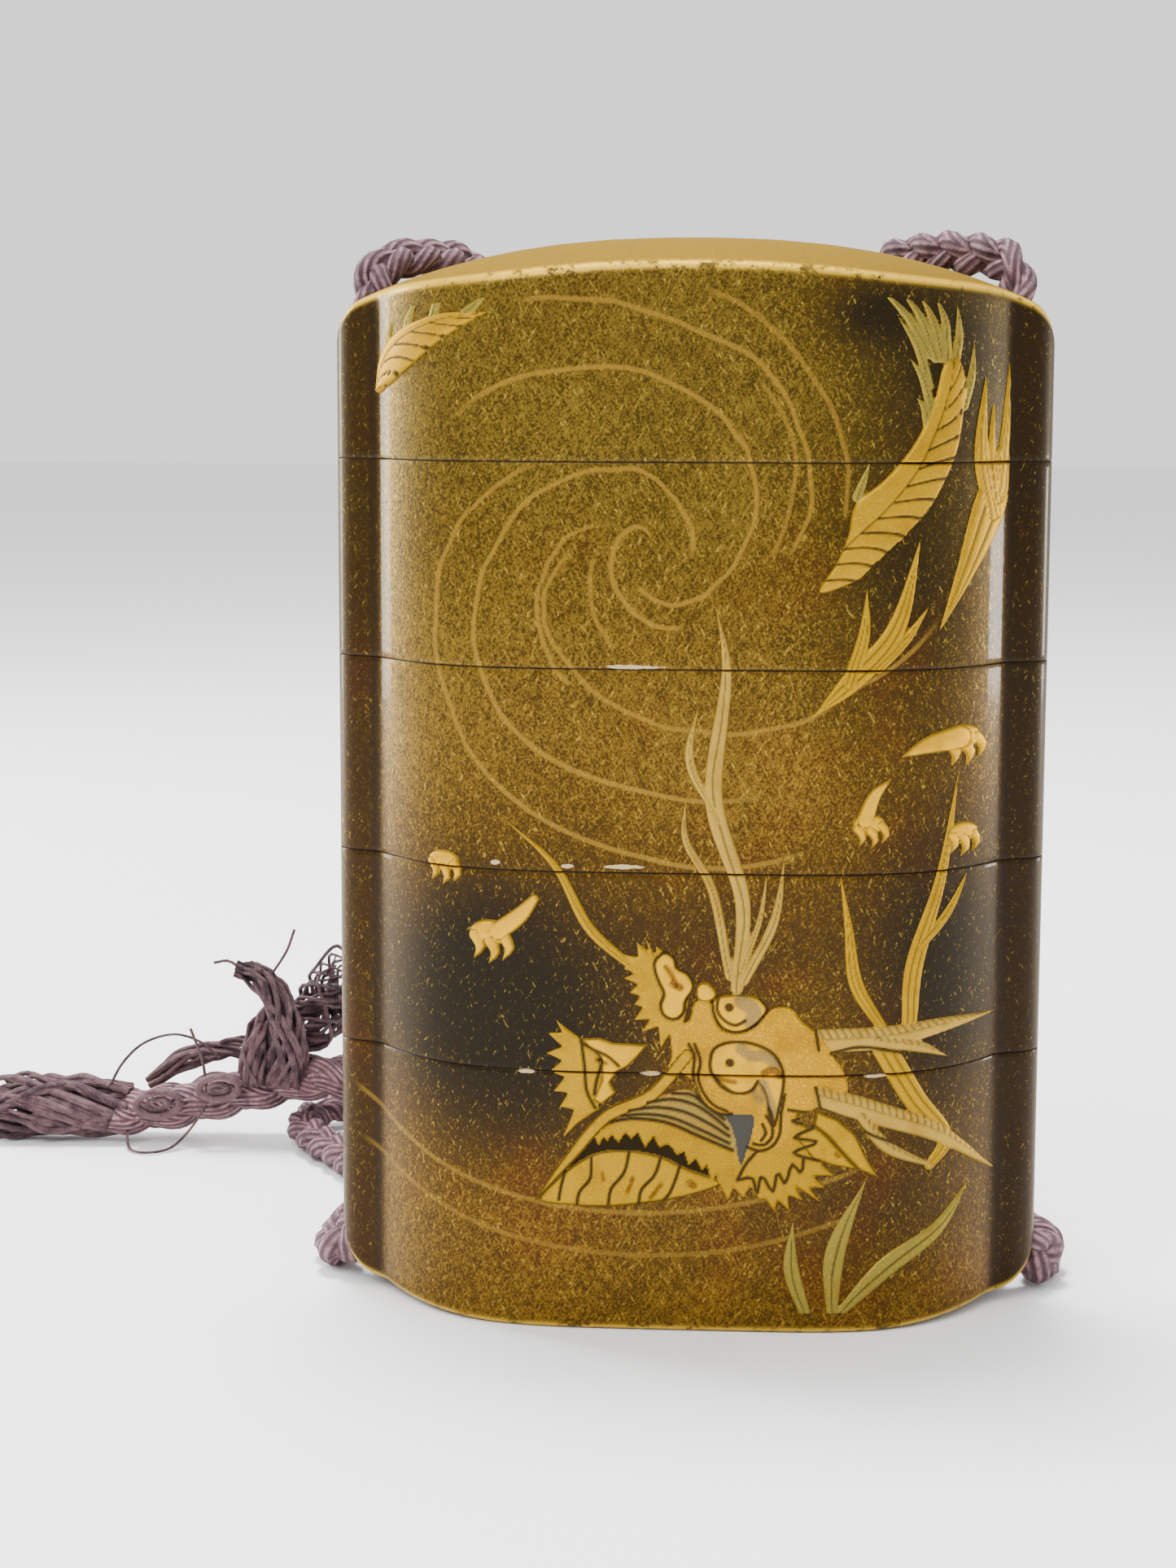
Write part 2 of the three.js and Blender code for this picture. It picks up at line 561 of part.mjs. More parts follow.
// The cord runs from its knot up the back, over the lid, down one end, round behind the case on the surface,
// up the other end, and back over the lid to the knot.
const knotCentre = [-30, 46, KNOT_RADIUS + LYING_GAP];
const leftFallRoute = [
  [-28.7, 41.4, 6.7], [-27.4, 37, 7.9], [-25.8, 32, 9.2], [-24, 27, 11.2], [-22, 22, 15], [-20.2, 17.8, 21],
  [-18.8, 15.6, 29], [-17.8, 14.8, 38], [-17.2, 14.6, 49], [-16.9, 14.6, 60], [-16.9, 14.6, 71],
  [-17.2, 14.6, 78], [-17.6, 14.6, 82.4], [-18.2, 13.9, 85.4], [-19.2, 12.2, 87.5], [-20.6, 9.6, 88.4],
  [-22.4, 6.6, 88.6], [-24.4, 3.6, 88.5], [-25.9, 1.5, 88], [-26.7, 0.4, 86.8], [-boreX, 0, 85.2],
];
const leftHoleRoute = [[-boreX, 0, 82], [-boreX, 0, 68], [-boreX, 0, 50], [-boreX, 0, 32], [-boreX, 0, 20]];
const floorRoute = [
  [-31, 16, 1.8], [-31.4, 23, 1.8], [-33, 30, 1.8], [-36, 36, 1.8], [-39.2, 41, 1.8], [-41.2, 46, 1.8],
  [-40.8, 50.6, 1.8], [-38, 53.8, 1.8], [-33, 54.8, 1.8], [-26, 53.8, 1.8], [-18, 50.6, 1.8],
  [-9, 45.8, 1.8], [0, 40.4, 1.8], [9, 34.6, 1.8], [17.6, 28.2, 1.8], [25, 21, 1.8], [29.4, 15, 1.8],
];
const rightFallRoute = [
  [boreX, 0, 85.2], [26.8, 0.4, 86.8], [26.2, 1.4, 88], [24.8, 3, 88.6], [22.6, 5.2, 89], [20, 7.8, 89.1],
  [17.6, 10.4, 88.8], [15.8, 12.8, 87.7], [14.8, 14.4, 85.6], [14.2, 15.2, 82.4], [13.6, 15.5, 77],
  [12.4, 15.5, 68], [10.6, 15.5, 58], [8, 15.6, 48], [4.4, 16, 38], [-0.4, 17.2, 29], [-5.6, 19.8, 21],
  [-10.6, 24, 14.6], [-14.6, 30, 10], [-17.4, 36, 7.4], [-20.4, 41, 6], [-24.9, 44, 5.2],
];
const cordRoute = [
  ...leftFallRoute, ...leftHoleRoute, ...mirrored(footRoute), ...floorRoute,
  ...[...footRoute].reverse(), ...mirrored(leftHoleRoute).reverse(), ...rightFallRoute,
];
const tailRoute = [
  [-35.2, 46.6, 6.5], [-38.4, 47, 6.8], [-42, 47.2, 6.4], [-46, 47, 5.6], [-50.6, 46.7, 4.5],
  [-55.6, 46.3, 3.4], [-61, 46, 2.6],
];

// A frayed end: a swelling bundle from the cord's end to a blunt tip, along a direction
function frayedBody(start, direction, length, radius) {
  const rings = [[0, 0], [0.5, 0], [0.62, 0.2], [0.9, 0.55], [1, 0.85], [0.7, 1], [0, 1]];
  const profile = rings.map(([out, along]) => new THREE.Vector2(out * radius, along * length));
  const geometry = new THREE.LatheGeometry(profile, 12);
  const toDirection = new THREE.Vector3(...direction).normalize();
  const turn = new THREE.Quaternion().setFromUnitVectors(new THREE.Vector3(0, 1, 0), toDirection);
  geometry.applyQuaternion(turn);
  geometry.translate(...start);
  return geometry;
}

place("cord", cordGeometry(cordRoute, CORD_DIAMETER, CORD_SIDES), silk);
place("cord_tail", cordGeometry(tailRoute, TAIL_DIAMETER, CORD_SIDES), silk);
const knot = new THREE.SphereGeometry(KNOT_RADIUS, 14, 9);
knot.rotateX(Math.PI / 2);
knot.translate(...knotCentre);
place("cord_knot", knot, silk);
place("tail_tassel", frayedBody([-61.4, 46, 2.47 + LYING_GAP], [-1, -0.03, 0.05], TASSEL_LENGTH, TASSEL_RADIUS), silk);
place("tail_tuft", frayedBody([-43.6, 47, 8.8], [-0.42, 0, 0.9], TUFT_LENGTH, TUFT_RADIUS), silk);
place("loose_bundle", frayedBody([-38.6, 47.4, 9.7], [0.42, 0.1, 0.88], TUFT_LENGTH, TUFT_RADIUS), silk);

export default group;
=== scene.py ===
# %% [markdown]
# # A lacquered case on a silk cord
# The real object is a small case for seals or medicines, worn hanging from a sash. It is a lid and four
# cases stacked on one another, all of thin wood under many coats of lacquer. The ground is sprinkled with
# gold dust, a dragon is built up on it in raised gold, and a braided silk cord runs down through both ends.
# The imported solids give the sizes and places. This lesson dresses them: everything below is in the same
# frame, with x to the right of the front face, y to the back and z up.

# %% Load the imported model
import math
import bmesh
import bpy
import numpy as np
from mathutils import Matrix, Vector


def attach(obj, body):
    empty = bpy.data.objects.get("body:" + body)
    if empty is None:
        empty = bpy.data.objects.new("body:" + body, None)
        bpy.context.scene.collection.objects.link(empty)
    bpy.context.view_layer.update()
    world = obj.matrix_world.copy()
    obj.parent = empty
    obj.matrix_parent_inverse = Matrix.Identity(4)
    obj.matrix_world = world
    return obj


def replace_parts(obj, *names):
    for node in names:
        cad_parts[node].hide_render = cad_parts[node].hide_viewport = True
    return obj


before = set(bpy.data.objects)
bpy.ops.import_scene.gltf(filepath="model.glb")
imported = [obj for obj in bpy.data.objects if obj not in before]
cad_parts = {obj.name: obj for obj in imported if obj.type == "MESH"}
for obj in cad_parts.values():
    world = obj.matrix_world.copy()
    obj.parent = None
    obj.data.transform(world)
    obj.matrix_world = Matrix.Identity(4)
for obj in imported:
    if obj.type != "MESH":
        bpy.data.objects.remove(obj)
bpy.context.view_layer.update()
MM = 0.001

# %% [markdown]
# ## The camera
# A photograph of so small a thing is taken from about a hand's length away, a little above its middle.
# The place and the turn were found by fitting the straight seams and the corners of the case, so that the
# render can be laid over the photograph. The lens is given for a sensor of 36 mm on its long side.

# %% Place the camera
eye = bpy.data.objects.new("Camera", bpy.data.cameras.new("Camera"))
bpy.context.scene.collection.objects.link(eye)
eye.location = (0.0078, -0.2469, 0.0770)
PITCH, TURN, ROLL = (math.radians(a) for a in (7.59, 3.82, 0.19))
lifted = Matrix.Rotation(math.pi / 2 - PITCH, 3, "X")
eye.rotation_euler = (Matrix.Rotation(TURN, 3, "Z") @ lifted @ Matrix.Rotation(ROLL, 3, "Z")).to_euler()
eye.data.sensor_fit = "VERTICAL"
eye.data.sensor_height = 36
eye.data.lens = 67.0
eye.data.clip_start = 0.01
bpy.context.scene.camera = eye
print("camera at", tuple(eye.location), "lens", eye.data.lens)

# %% [markdown]
# ## Making a piece
# Every piece here is made from arrays of points and faces, because lacquer work and braids are both easier
# to describe with formulas than with a mouse. The points are written in millimetres, as the maker of the
# case would measure them. One helper turns them into a Blender mesh and ties the piece to its body.

# %% A helper for pieces
def piece_from(name, points, faces, looks=(), which=None, sharp_degrees=40):
    """A mesh from points in millimetres. which gives the number of each face's material in looks."""
    mesh = bpy.data.meshes.new(name)
    mesh.from_pydata((np.asarray(points, float) * MM).tolist(), [], [list(map(int, f)) for f in faces])
    mesh.validate()
    for look_of in looks:
        mesh.materials.append(look_of)
    if which is not None and len(which) == len(mesh.polygons):
        mesh.polygons.foreach_set("material_index", np.asarray(which, np.int32))
    mesh.shade_smooth()
    mesh.set_sharp_from_angle(angle=math.radians(sharp_degrees))
    piece = bpy.data.objects.new(name, mesh)
    bpy.context.scene.collection.objects.link(piece)
    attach(piece, "root")
    return piece


def point_value(piece, name, values):
    """One number, or one colour, for each point of the mesh, for a material to read."""
    values = np.asarray(values, np.float32)
    kind, field = ("FLOAT", "value") if values.ndim == 1 else ("FLOAT_COLOR", "color")
    if values.ndim == 2:
        values = np.column_stack([values, np.ones(len(values), np.float32)])
    piece.data.attributes.new(name, kind, "POINT").data.foreach_set(field, values.ravel())


# %% [markdown]
# ## Materials as sums
# A finish is a small formula: how much gold dust, how deep a groove, how worn an edge. Node graphs say this
# with many boxes. The class below lets a socket be added and multiplied like a number, and each sum adds its
# Math node by itself. Any other node comes from one method of the finish.

# %% A finish, and sockets that can be reckoned with
class Wire:
    """The output of a node, for use in Python sums."""

    def __init__(self, finish, socket):
        self.finish, self.socket = finish, socket

    def math(self, operation, *values):
        return self.finish.node("Math", {"operation": operation}, dict(enumerate(values)))

    def __add__(self, other):
        return self.math("ADD", self, other)

    def __sub__(self, other):
        return self.math("SUBTRACT", self, other)

    def __rsub__(self, other):
        return self.math("SUBTRACT", other, self)

    def __mul__(self, other):
        return self.math("MULTIPLY", self, other)

    def __truediv__(self, other):
        return self.math("DIVIDE", self, other)

    def __rtruediv__(self, other):
        return self.math("DIVIDE", other, self)

    def __pow__(self, other):
        return self.math("POWER", self, other)

    def __abs__(self):
        return self.math("ABSOLUTE", self)

    __radd__, __rmul__ = __add__, __mul__


class Finish:
    """A material. Uniform values go straight onto the shader, and what varies comes in by feed."""

    def __init__(self, name, **uniform):
        self.material = bpy.data.materials.new(name)
        self.material.use_nodes = True
        self.tree = self.material.node_tree
        self.shader = self.tree.nodes["Principled BSDF"]
        for key, value in uniform.items():
            self.shader.inputs[self.label(key)].default_value = value

    @staticmethod
    def label(key):
        return key.replace("_", " ").title().replace("Ior", "IOR")

    def node(self, kind, settings=None, sockets=None, out=0):
        made = self.tree.nodes.new("ShaderNode" + kind)
        for key, value in (settings or {}).items():
            if key == "stops":
                while len(made.color_ramp.elements) < len(value):
                    made.color_ramp.elements.new(0.5)
                for element, (place, colour) in zip(made.color_ramp.elements, value):
                    element.position, element.color = place, (*colour, 1)
            elif key == "between":
                made.color_ramp.interpolation = value
            else:
                setattr(made, key, value)
        for key, value in (sockets or {}).items():
            if isinstance(value, Wire):
                self.tree.links.new(value.socket, made.inputs[key])
            elif isinstance(value, tuple) and len(value) == 3 and made.inputs[key].type == "RGBA":
                made.inputs[key].default_value = (*value, 1)
            else:
                made.inputs[key].default_value = value
        return Wire(self, made.outputs[out])

    def feed(self, **wires):
        for key, wire in wires.items():
            self.tree.links.new(wire.socket, self.shader.inputs[self.label(key)])

    def mix(self, share, first, second):
        """A colour between two colours."""
        return self.node("Mix", {"data_type": "RGBA"}, {0: share, 6: first, 7: second}, out=2)

    def blend(self, share, first, second):
        """A number between two numbers."""
        return self.node("Mix", {"data_type": "FLOAT"}, {0: share, 2: first, 3: second})

    def step(self, value, low, high):
        """0 below low and 1 above high, smooth between, or the other way round where low is above high."""
        ends = {1: low, 2: high, 3: 0.0, 4: 1.0} if low < high else {1: high, 2: low, 3: 1.0, 4: 0.0}
        return self.node("MapRange", {"interpolation_type": "SMOOTHSTEP"}, {0: value, **ends})

    def place(self):
        """The place on the object in millimetres, and its x, y and z."""
        spot = self.node("VectorMath", {"operation": "SCALE"}, {0: self.node("TexCoord", out=3), "Scale": 1 / MM})
        return (spot, *(self.node("SeparateXYZ", sockets={0: spot}, out=i) for i in range(3)))

    def noise(self, spot, size, detail=2.0, rough=0.5):
        """Soft random patches of about this size in millimetres, from 0 to 1."""
        return self.node("TexNoise", sockets={"Vector": spot, "Scale": 1 / size, "Detail": detail, "Roughness": rough})

    def slanted(self, spot, wide, long, lean, seed):
        """Random streaks of this width and length in millimetres, leaning sideways by an angle in degrees."""
        held = self.node("Mapping", {"vector_type": "TEXTURE"},
                         {"Vector": spot, "Location": (seed, 0, seed), "Rotation": (0, math.radians(lean), 0),
                          "Scale": (wide, wide * 2, long)})
        return self.node("TexNoise", sockets={"Vector": held, "Scale": 1.0, "Detail": 2.0})

    def course(self, share, points):
        """A number that follows points of share and value, smooth between them."""
        stops = [(place, (value,) * 3) for place, value in points]
        return self.node("ValToRGB", {"stops": stops, "between": "CARDINAL"}, {0: share})

    def attribute(self, name, out=2):
        """A number that the mesh carries at each point, or with out=0 a colour."""
        return self.node("Attribute", {"attribute_name": name}, out=out)

    def bump(self, height, distance_mm, strength=1.0):
        return self.node("Bump", sockets={"Height": height, "Distance": distance_mm * MM, "Strength": strength})


# %% [markdown]
# ## The silk of the cord
# The cord is plaited from strands of dull mauve silk. Each strand is a bundle of fine twisted yarns, so the
# light breaks into narrow slanting lines. The plait carries two numbers at each point: how far along its
# strand it is, and how far round. From them the material draws the yarns, whatever way the cord bends, with
# a painted highlight on their crests and painted shade in the gaps between them.

# %% Finish: silk
def silk_finish(name, deep, middle, light, yarns):
    silk = Finish(name, roughness=0.7, specular_ior_level=0.25, sheen_weight=0.06, sheen_roughness=0.4,
                  sheen_tint=(0.9, 0.72, 0.78, 1))
    spot = silk.place()[0]
    along, round_it, tint = silk.attribute("along"), silk.attribute("round"), silk.attribute("tint")
    slant = (round_it * yarns + along * 0.6) * (2 * math.pi)
    yarn = slant.math("SINE", slant) * 0.5 + 0.5
    patches = silk.noise(spot, 2.2, 3.0)
    fuzz = silk.noise(spot, 0.16, 3.0, 0.7)
    worn = silk.step(patches + tint * 0.4 + fuzz * 0.3, 0.6, 1.0)
    body = silk.mix(worn, deep, middle)
    # painted highlight on the crests of the yarns, stronger in random patches
    bright = silk.step(yarn * 0.7 + fuzz * 0.6 + patches * 0.3, 0.62, 1.15)
    lit = silk.step(silk.noise(spot, 1.1, 3.0, 0.6), 0.38, 0.62)
    colour = silk.mix(bright * (0.22 + lit * 0.6), body, light)
    # painted shade in the gaps between the yarns
    colour = silk.mix(silk.step(yarn + fuzz * 0.5, 0.45, 0.15) * 0.6, colour, deep)
    silk.feed(base_color=colour)
    silk.feed(normal=silk.bump(yarn * 0.8 + fuzz * 0.7, 0.22))
    return silk.material


SILK = silk_finish("mauve_silk", deep=(0.022, 0.008, 0.015), middle=(0.090, 0.042, 0.054),
                   light=(0.34, 0.19, 0.20), yarns=4.0)
TAIL_SILK = silk_finish("mauve_silk_of_the_tail", deep=(0.032, 0.012, 0.022), middle=(0.140, 0.068, 0.080),
                        light=(0.42, 0.25, 0.25), yarns=9.0)
print("finishes:", SILK.name, TAIL_SILK.name)

# %% [markdown]
# ## A route for the cord
# A cord has a fixed length, and it lies where gravity and the holes put it. The solids already hold its way,
# so the same points are written here. A smooth curve is laid through them and cut at equal steps. The frame
# that travels along it is turned as little as possible from step to step, so that the plait doesn't spin.

# %% Routes and travelling frames
def through(points, step):
    """A smooth curve through points, cut at equal steps: a centripetal Catmull-Rom curve."""
    p = np.asarray(points, float)
    p = np.vstack([2 * p[0] - p[1], p, 2 * p[-1] - p[-2]])
    fine = []
    for a, b, c, d in zip(p, p[1:], p[2:], p[3:]):
        t1, t2, t3 = np.cumsum([max(np.linalg.norm(v), 1e-6) ** 0.5 for v in (b - a, c - b, d - c)])
        t = np.linspace(t1, t2, 24, endpoint=False)[:, None]
        ab, bc, cd = a + (b - a) * t / t1, b + (c - b) * (t - t1) / (t2 - t1), c + (d - c) * (t - t2) / (t3 - t2)
        abc, bcd = ab + (bc - ab) * t / t2, bc + (cd - bc) * (t - t1) / (t3 - t1)
        fine.append(abc + (bcd - abc) * (t - t1) / (t2 - t1))
    fine = np.vstack([*fine, p[-2]])
    run = run_of(fine)
    places = np.linspace(0, run[-1], max(3, int(round(run[-1] / step)) + 1))
    return np.column_stack([np.interp(places, run, fine[:, i]) for i in range(3)])


def travelling_frames(path):
    """The direction of a path at each point, and two directions square to it."""
    along = np.gradient(path, axis=0)
    along /= np.linalg.norm(along, axis=1)[:, None]
    side = np.cross(along[0], (0, 0, 1))
    if np.linalg.norm(side) < 0.1:
        side = np.cross(along[0], (0, 1, 0))
    sides = []
    for a in along:
        side = side - a * (side @ a)
        side = side / np.linalg.norm(side)
        sides.append(side)
    sides = np.array(sides)
    return along, sides, np.cross(along, sides)


def run_of(path):
    """The way along a path up to each of its points."""
    return np.concatenate([[0], np.cumsum(np.linalg.norm(np.diff(path, axis=0), axis=1))])


# %% [markdown]
# ## Tubes and plaits
# One strand is a closed tube along its own path. A plait is three strands that swing from side to side, a
# third of a turn apart, and dip under one another twice as often. This is how a braider's hands move, and it
# gives the row of plump chevrons that the cord shows from both faces.

# %% Strands and the plait
TABLE_GAP = 0.03


def strand(path, radius, sides=8, phase=0.0, tint=0.5):
    """A closed tube: its points, faces, and for each point its way along, its way round and its tint."""
    path = np.asarray(path, float)
    radius = np.broadcast_to(np.asarray(radius, float), len(path))
    _, side, lift = travelling_frames(path)
    turn = np.arange(sides) / sides * 2 * np.pi
    rim = np.cos(turn)[None, :, None] * side[:, None] + np.sin(turn)[None, :, None] * lift[:, None]
    points = (path[:, None] + rim * radius[:, None, None]).reshape(-1, 3)
    run = run_of(path)
    n = len(path)
    a = (np.arange(n - 1)[:, None] * sides + np.arange(sides)[None]).ravel()
    b = (np.arange(n - 1)[:, None] * sides + (np.arange(sides)[None] + 1) % sides).ravel()
    faces = np.column_stack([a, b, b + sides, a + sides]).tolist()
    faces += [list(range(sides))[::-1], list(range((n - 1) * sides, n * sides))]
    # the yarns run on past the seam of the tube, so the way round is folded and not cut
    folded = 1 - np.abs(np.arange(sides) / sides * 2 - 1)
    return points, faces, np.repeat(run + phase, sides), np.tile(folded, n), np.full(n * sides, tint)


def joined(name, strands, looks, replaced=(), lying=True):
    """One piece from many strands. What is lying is kept above the table."""
    points, faces, values, base = [], [], [[], [], []], 0
    for p, f, *rest in strands:
        faces += [[i + base for i in face] for face in f]
        points.append(p)
        base += len(p)
        for store, value in zip(values, rest):
            store.append(value)
    points = np.vstack(points)
    if lying:
        points[:, 2] = np.maximum(points[:, 2], TABLE_GAP)
    piece = piece_from(name, points, faces, looks, sharp_degrees=80)
    for key, value in zip(("along", "round", "tint"), values):
        point_value(piece, key, np.concatenate(value))
    if replaced:
        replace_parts(piece, *replaced)
    return piece


def plaited(path, diameter, pitch, twist=0.0, sides=8, seed=1, squeeze=1.0):
    """Three strands along a path. pitch is the way along for one whole crossing of all three."""
    rng = np.random.default_rng(seed)
    _, side, lift = travelling_frames(path)
    run = run_of(path)
    turn = np.radians(twist) * run
    across = np.cos(turn)[:, None] * side + np.sin(turn)[:, None] * lift
    deep = -np.sin(turn)[:, None] * side + np.cos(turn)[:, None] * lift
    diameter = np.broadcast_to(diameter, len(path))
    swing, dip, thick = 0.255 * diameter, 0.135 * diameter * squeeze, 0.275 * diameter
    made = []
    for k in range(3):
        phase = 2 * np.pi * (run / pitch + k / 3)
        breath = 1 + 0.05 * np.sin(run * 1.7 + 2.1 * k) + 0.04 * np.sin(run * 0.43 + k)
        way = path + across * (swing * np.sin(phase))[:, None] + deep * (dip * np.sin(2 * phase))[:, None]
        made.append(strand(way, thick * breath, sides, rng.uniform(0, 50), rng.uniform(0.3, 0.8)))
    return made


# %% [markdown]
# ## The cord
# One length of cord makes both sides. It leaves the knot behind the case, climbs the back, crosses the left
# shoulder of the lid and goes down inside the left end. Under the foot it comes out, lies in a loop on the
# table behind, and does the same on the right. A cord ring like this is threaded by hand through each case,
# which is why the cases can be pulled apart but never lost.

# %% The way of the cord, in millimetres as in the solids
KNOT_CENTRE = (-30, 46, 4.62)
HOLE_X = 26.85
FOOT_WAY = [(HOLE_X, 0, 12), (HOLE_X + 0.1, 0.1, 8.6), (HOLE_X + 0.5, 0.6, 6.2), (HOLE_X + 1.3, 1.5, 4.2),
            (HOLE_X + 2.4, 3.1, 2.6), (HOLE_X + 3.4, 5.6, 1.9), (HOLE_X + 4, 9.4, 1.8)]
LEFT_FALL = [(-28.7, 41.4, 6.7), (-27.4, 37, 7.9), (-25.8, 32, 9.2), (-24, 27, 11.2), (-22, 22, 15),
             (-20.2, 17.8, 21), (-18.8, 15.6, 29), (-17.8, 14.8, 38), (-17.2, 14.6, 49), (-16.9, 14.6, 60),
             (-16.9, 14.6, 71), (-17.2, 14.6, 78), (-17.6, 14.6, 82.4), (-18.2, 13.9, 85.4), (-19.2, 12.2, 87.5),
             (-20.6, 9.6, 88.4), (-22.4, 6.6, 88.6), (-24.4, 3.6, 88.5), (-25.9, 1.5, 88), (-26.7, 0.4, 86.8),
             (-HOLE_X, 0, 85.2)]
LEFT_HOLE = [(-HOLE_X, 0, z) for z in (82, 68, 50, 32, 20)]
FLOOR_WAY = [(-31, 16, 1.8), (-31.4, 23, 1.8), (-33, 30, 1.8), (-36, 36, 1.8), (-39.2, 41, 1.8), (-41.2, 46, 1.8),
             (-40.8, 50.6, 1.8), (-38, 53.8, 1.8), (-33, 54.8, 1.8), (-26, 53.8, 1.8), (-18, 50.6, 1.8),
             (-9, 45.8, 1.8), (0, 40.4, 1.8), (9, 34.6, 1.8), (17.6, 28.2, 1.8), (25, 21, 1.8), (29.4, 15, 1.8)]
RIGHT_FALL = [(HOLE_X, 0, 85.2), (26.8, 0.4, 86.8), (26.2, 1.4, 88), (24.8, 3, 88.6), (22.6, 5.2, 89),
              (20, 7.8, 89.1), (17.6, 10.4, 88.8), (15.8, 12.8, 87.7), (14.8, 14.4, 85.6), (14.2, 15.2, 82.4),
              (13.6, 15.5, 77), (12.4, 15.5, 68), (10.6, 15.5, 58), (8, 15.6, 48), (4.4, 16, 38), (-0.4, 17.2, 29),
              (-5.6, 19.8, 21), (-10.6, 24, 14.6), (-14.6, 30, 10), (-17.4, 36, 7.4), (-20.4, 41, 6),
              (-24.9, 44, 5.2)]


def mirrored(points):
    return [(-x, y, z) for x, y, z in points]


cord_way = (LEFT_FALL + LEFT_HOLE + mirrored(FOOT_WAY) + FLOOR_WAY + FOOT_WAY[::-1]
            + mirrored(LEFT_HOLE)[::-1] + RIGHT_FALL)
CORD_DIAMETER = 3.3
cord_path = through(cord_way, 0.42)
# where the cord is bent under a foot it is pushed together and swells
under_foot = np.exp(-((cord_path[:, 2] - 2) / 3.5) ** 2) * np.exp(-((cord_path[:, 1] - 4) / 7) ** 2)
bulge = np.tile((1.0, -1.6, 0.3), (len(cord_path), 1)) * under_foot[:, None]
bulge[:, 0] *= np.sign(cord_path[:, 0])
swollen = CORD_DIAMETER * (1.08 + 0.3 * under_foot)
cord = joined("cord_plait", plaited(cord_path + bulge, swollen, 10.2, twist=0.9), [SILK], ["cord"])

# %% [markdown]
# ## The knot and the tail
# Both ends of the cord are tied together behind the case, and the ends are plaited on into one thicker tail.
# A tight knot shows two or three turns of the cord round a ball, and the tail is a coarser plait.

# %% The knot
def knot_way(centre, radius, turns=3.0, wander=2.0, count=240):
    """A curve wound over a ball, as a cord is in a tight knot."""
    t = np.linspace(0, 2 * np.pi, count, endpoint=False)
    tip = 0.95 * np.sin(wander * t)
    spin = turns * t
    ball = np.column_stack([np.cos(spin) * np.cos(tip), np.sin(spin) * np.cos(tip), np.sin(tip)])
    tilt = np.array(Matrix.Rotation(0.9, 3, "X") @ Matrix.Rotation(0.5, 3, "Y"))
    return np.asarray(centre) + ball @ tilt.T * radius


knot_path = through(knot_way(KNOT_CENTRE, 3.0), 0.5)
knot = joined("knot", plaited(knot_path, 3.1, 6.6, seed=3), [SILK], ["cord_knot"])
print("knot:", len(knot.data.polygons), "faces")

# %% The plaited tail
TAIL_WAY = [(-31.5, 46.3, 6.2), (-35.2, 46.6, 6.5), (-38.4, 47, 6.8), (-42, 47.2, 6.4), (-46, 47, 5.6),
            (-50.6, 46.7, 4.5), (-55.6, 46.3, 3.4), (-61, 46, 2.9)]
tail_path = through(TAIL_WAY, 0.4)
tail = joined("tail_plait", plaited(tail_path, 6.2, 14.5, seed=5, sides=12, squeeze=0.7), [TAIL_SILK],
              ["cord_tail"])
print("tail:", round(run_of(tail_path)[-1], 1), "mm")

# %% [markdown]
# ## Frayed ends
# Old silk loses its lay: the yarns of the tail have come apart into a brush, one end stands up as a tuft,
# and a loosened bundle beside it has opened into a net of crossing yarns. Each yarn is its own thin strand
# with its own small wave, and the seed is fixed so that the ends are the same in each run.

# %% Locks of loose yarns
def lock(way, reach, count, thick, seed, twist=0.6, wave=0.25, stray=0.25):
    """Yarns that run beside one another along a way and come apart. reach is its half width on the way."""
    rng = np.random.default_rng(seed)
    path = through(way, 0.6)
    _, side, lift = travelling_frames(path)
    s = np.linspace(0, 1, len(path))
    wide = np.interp(s, np.linspace(0, 1, len(reach)), reach)
    made = []
    for k in range(count):
        angle, out = rng.uniform(0, 2 * np.pi), np.sqrt(rng.uniform(0.05, 1))
        end = int(len(path) * rng.uniform(1 - stray, 1)) if k % 3 else len(path)
        turn = angle + twist * (1 if rng.uniform() < 0.75 else -1) * s * 2 * np.pi
        own = wide * (out + wave * s * np.sin(rng.uniform(3, 9) * s * np.pi + rng.uniform(0, 6.3)))
        line = path + side * (own * np.cos(turn))[:, None] + lift * (own * np.sin(turn))[:, None]
        radius = thick * rng.uniform(0.7, 1.25)
        line[:, 2] = np.maximum(line[:, 2], radius + 0.05)
        line = line[:max(6, end)]
        taper = 1 - 0.5 * np.linspace(0, 1, len(line)) ** 3
        made.append(strand(line, radius * taper, 6, rng.uniform(0, 9), rng.uniform(0.1, 1)))
    return made


BRUSH_WAY = [(-59.4, 46, 3.2), (-64, 45.8, 3.4), (-69, 45.6, 3.4), (-76, 45.2, 3.0)]
tassel = joined("tail_brush", lock(BRUSH_WAY, [2.4, 3.0, 3.1, 2.9], 64, 0.40, 11, 0.35, 0.2), [TAIL_SILK],
                ["tail_tassel"])
TUFT_WAY = [(-43.2, 45.2, 6.5), (-42.6, 45, 10.5), (-43.4, 45, 14.6), (-45.4, 45, 17.6), (-47.9, 45, 18.6)]
SIDE_TUFT = [(-46.0, 44.6, 6.5), (-46.2, 44.4, 9.4), (-45.4, 44.6, 12.4), (-44.4, 45, 14.4)]
tuft = joined("upright_tuft", lock(TUFT_WAY, [1.9, 1.9, 1.7, 1.3, 0.9], 34, 0.36, 12, 0.5)
              + lock(SIDE_TUFT, [1.3, 1.4, 1.1, 0.5], 16, 0.34, 15, 0.4), [TAIL_SILK], ["tail_tuft"])
BUNDLE_WAY = [(-44.4, 48, 9.2), (-41.2, 48.4, 12.0), (-38.2, 48.6, 15.4), (-34.8, 48.4, 18.2)]
DARK_LOCK = [(-58, 49, 5.2), (-53.6, 49, 8.2), (-48.4, 48.8, 9.2), (-43, 48.6, 8.2)]
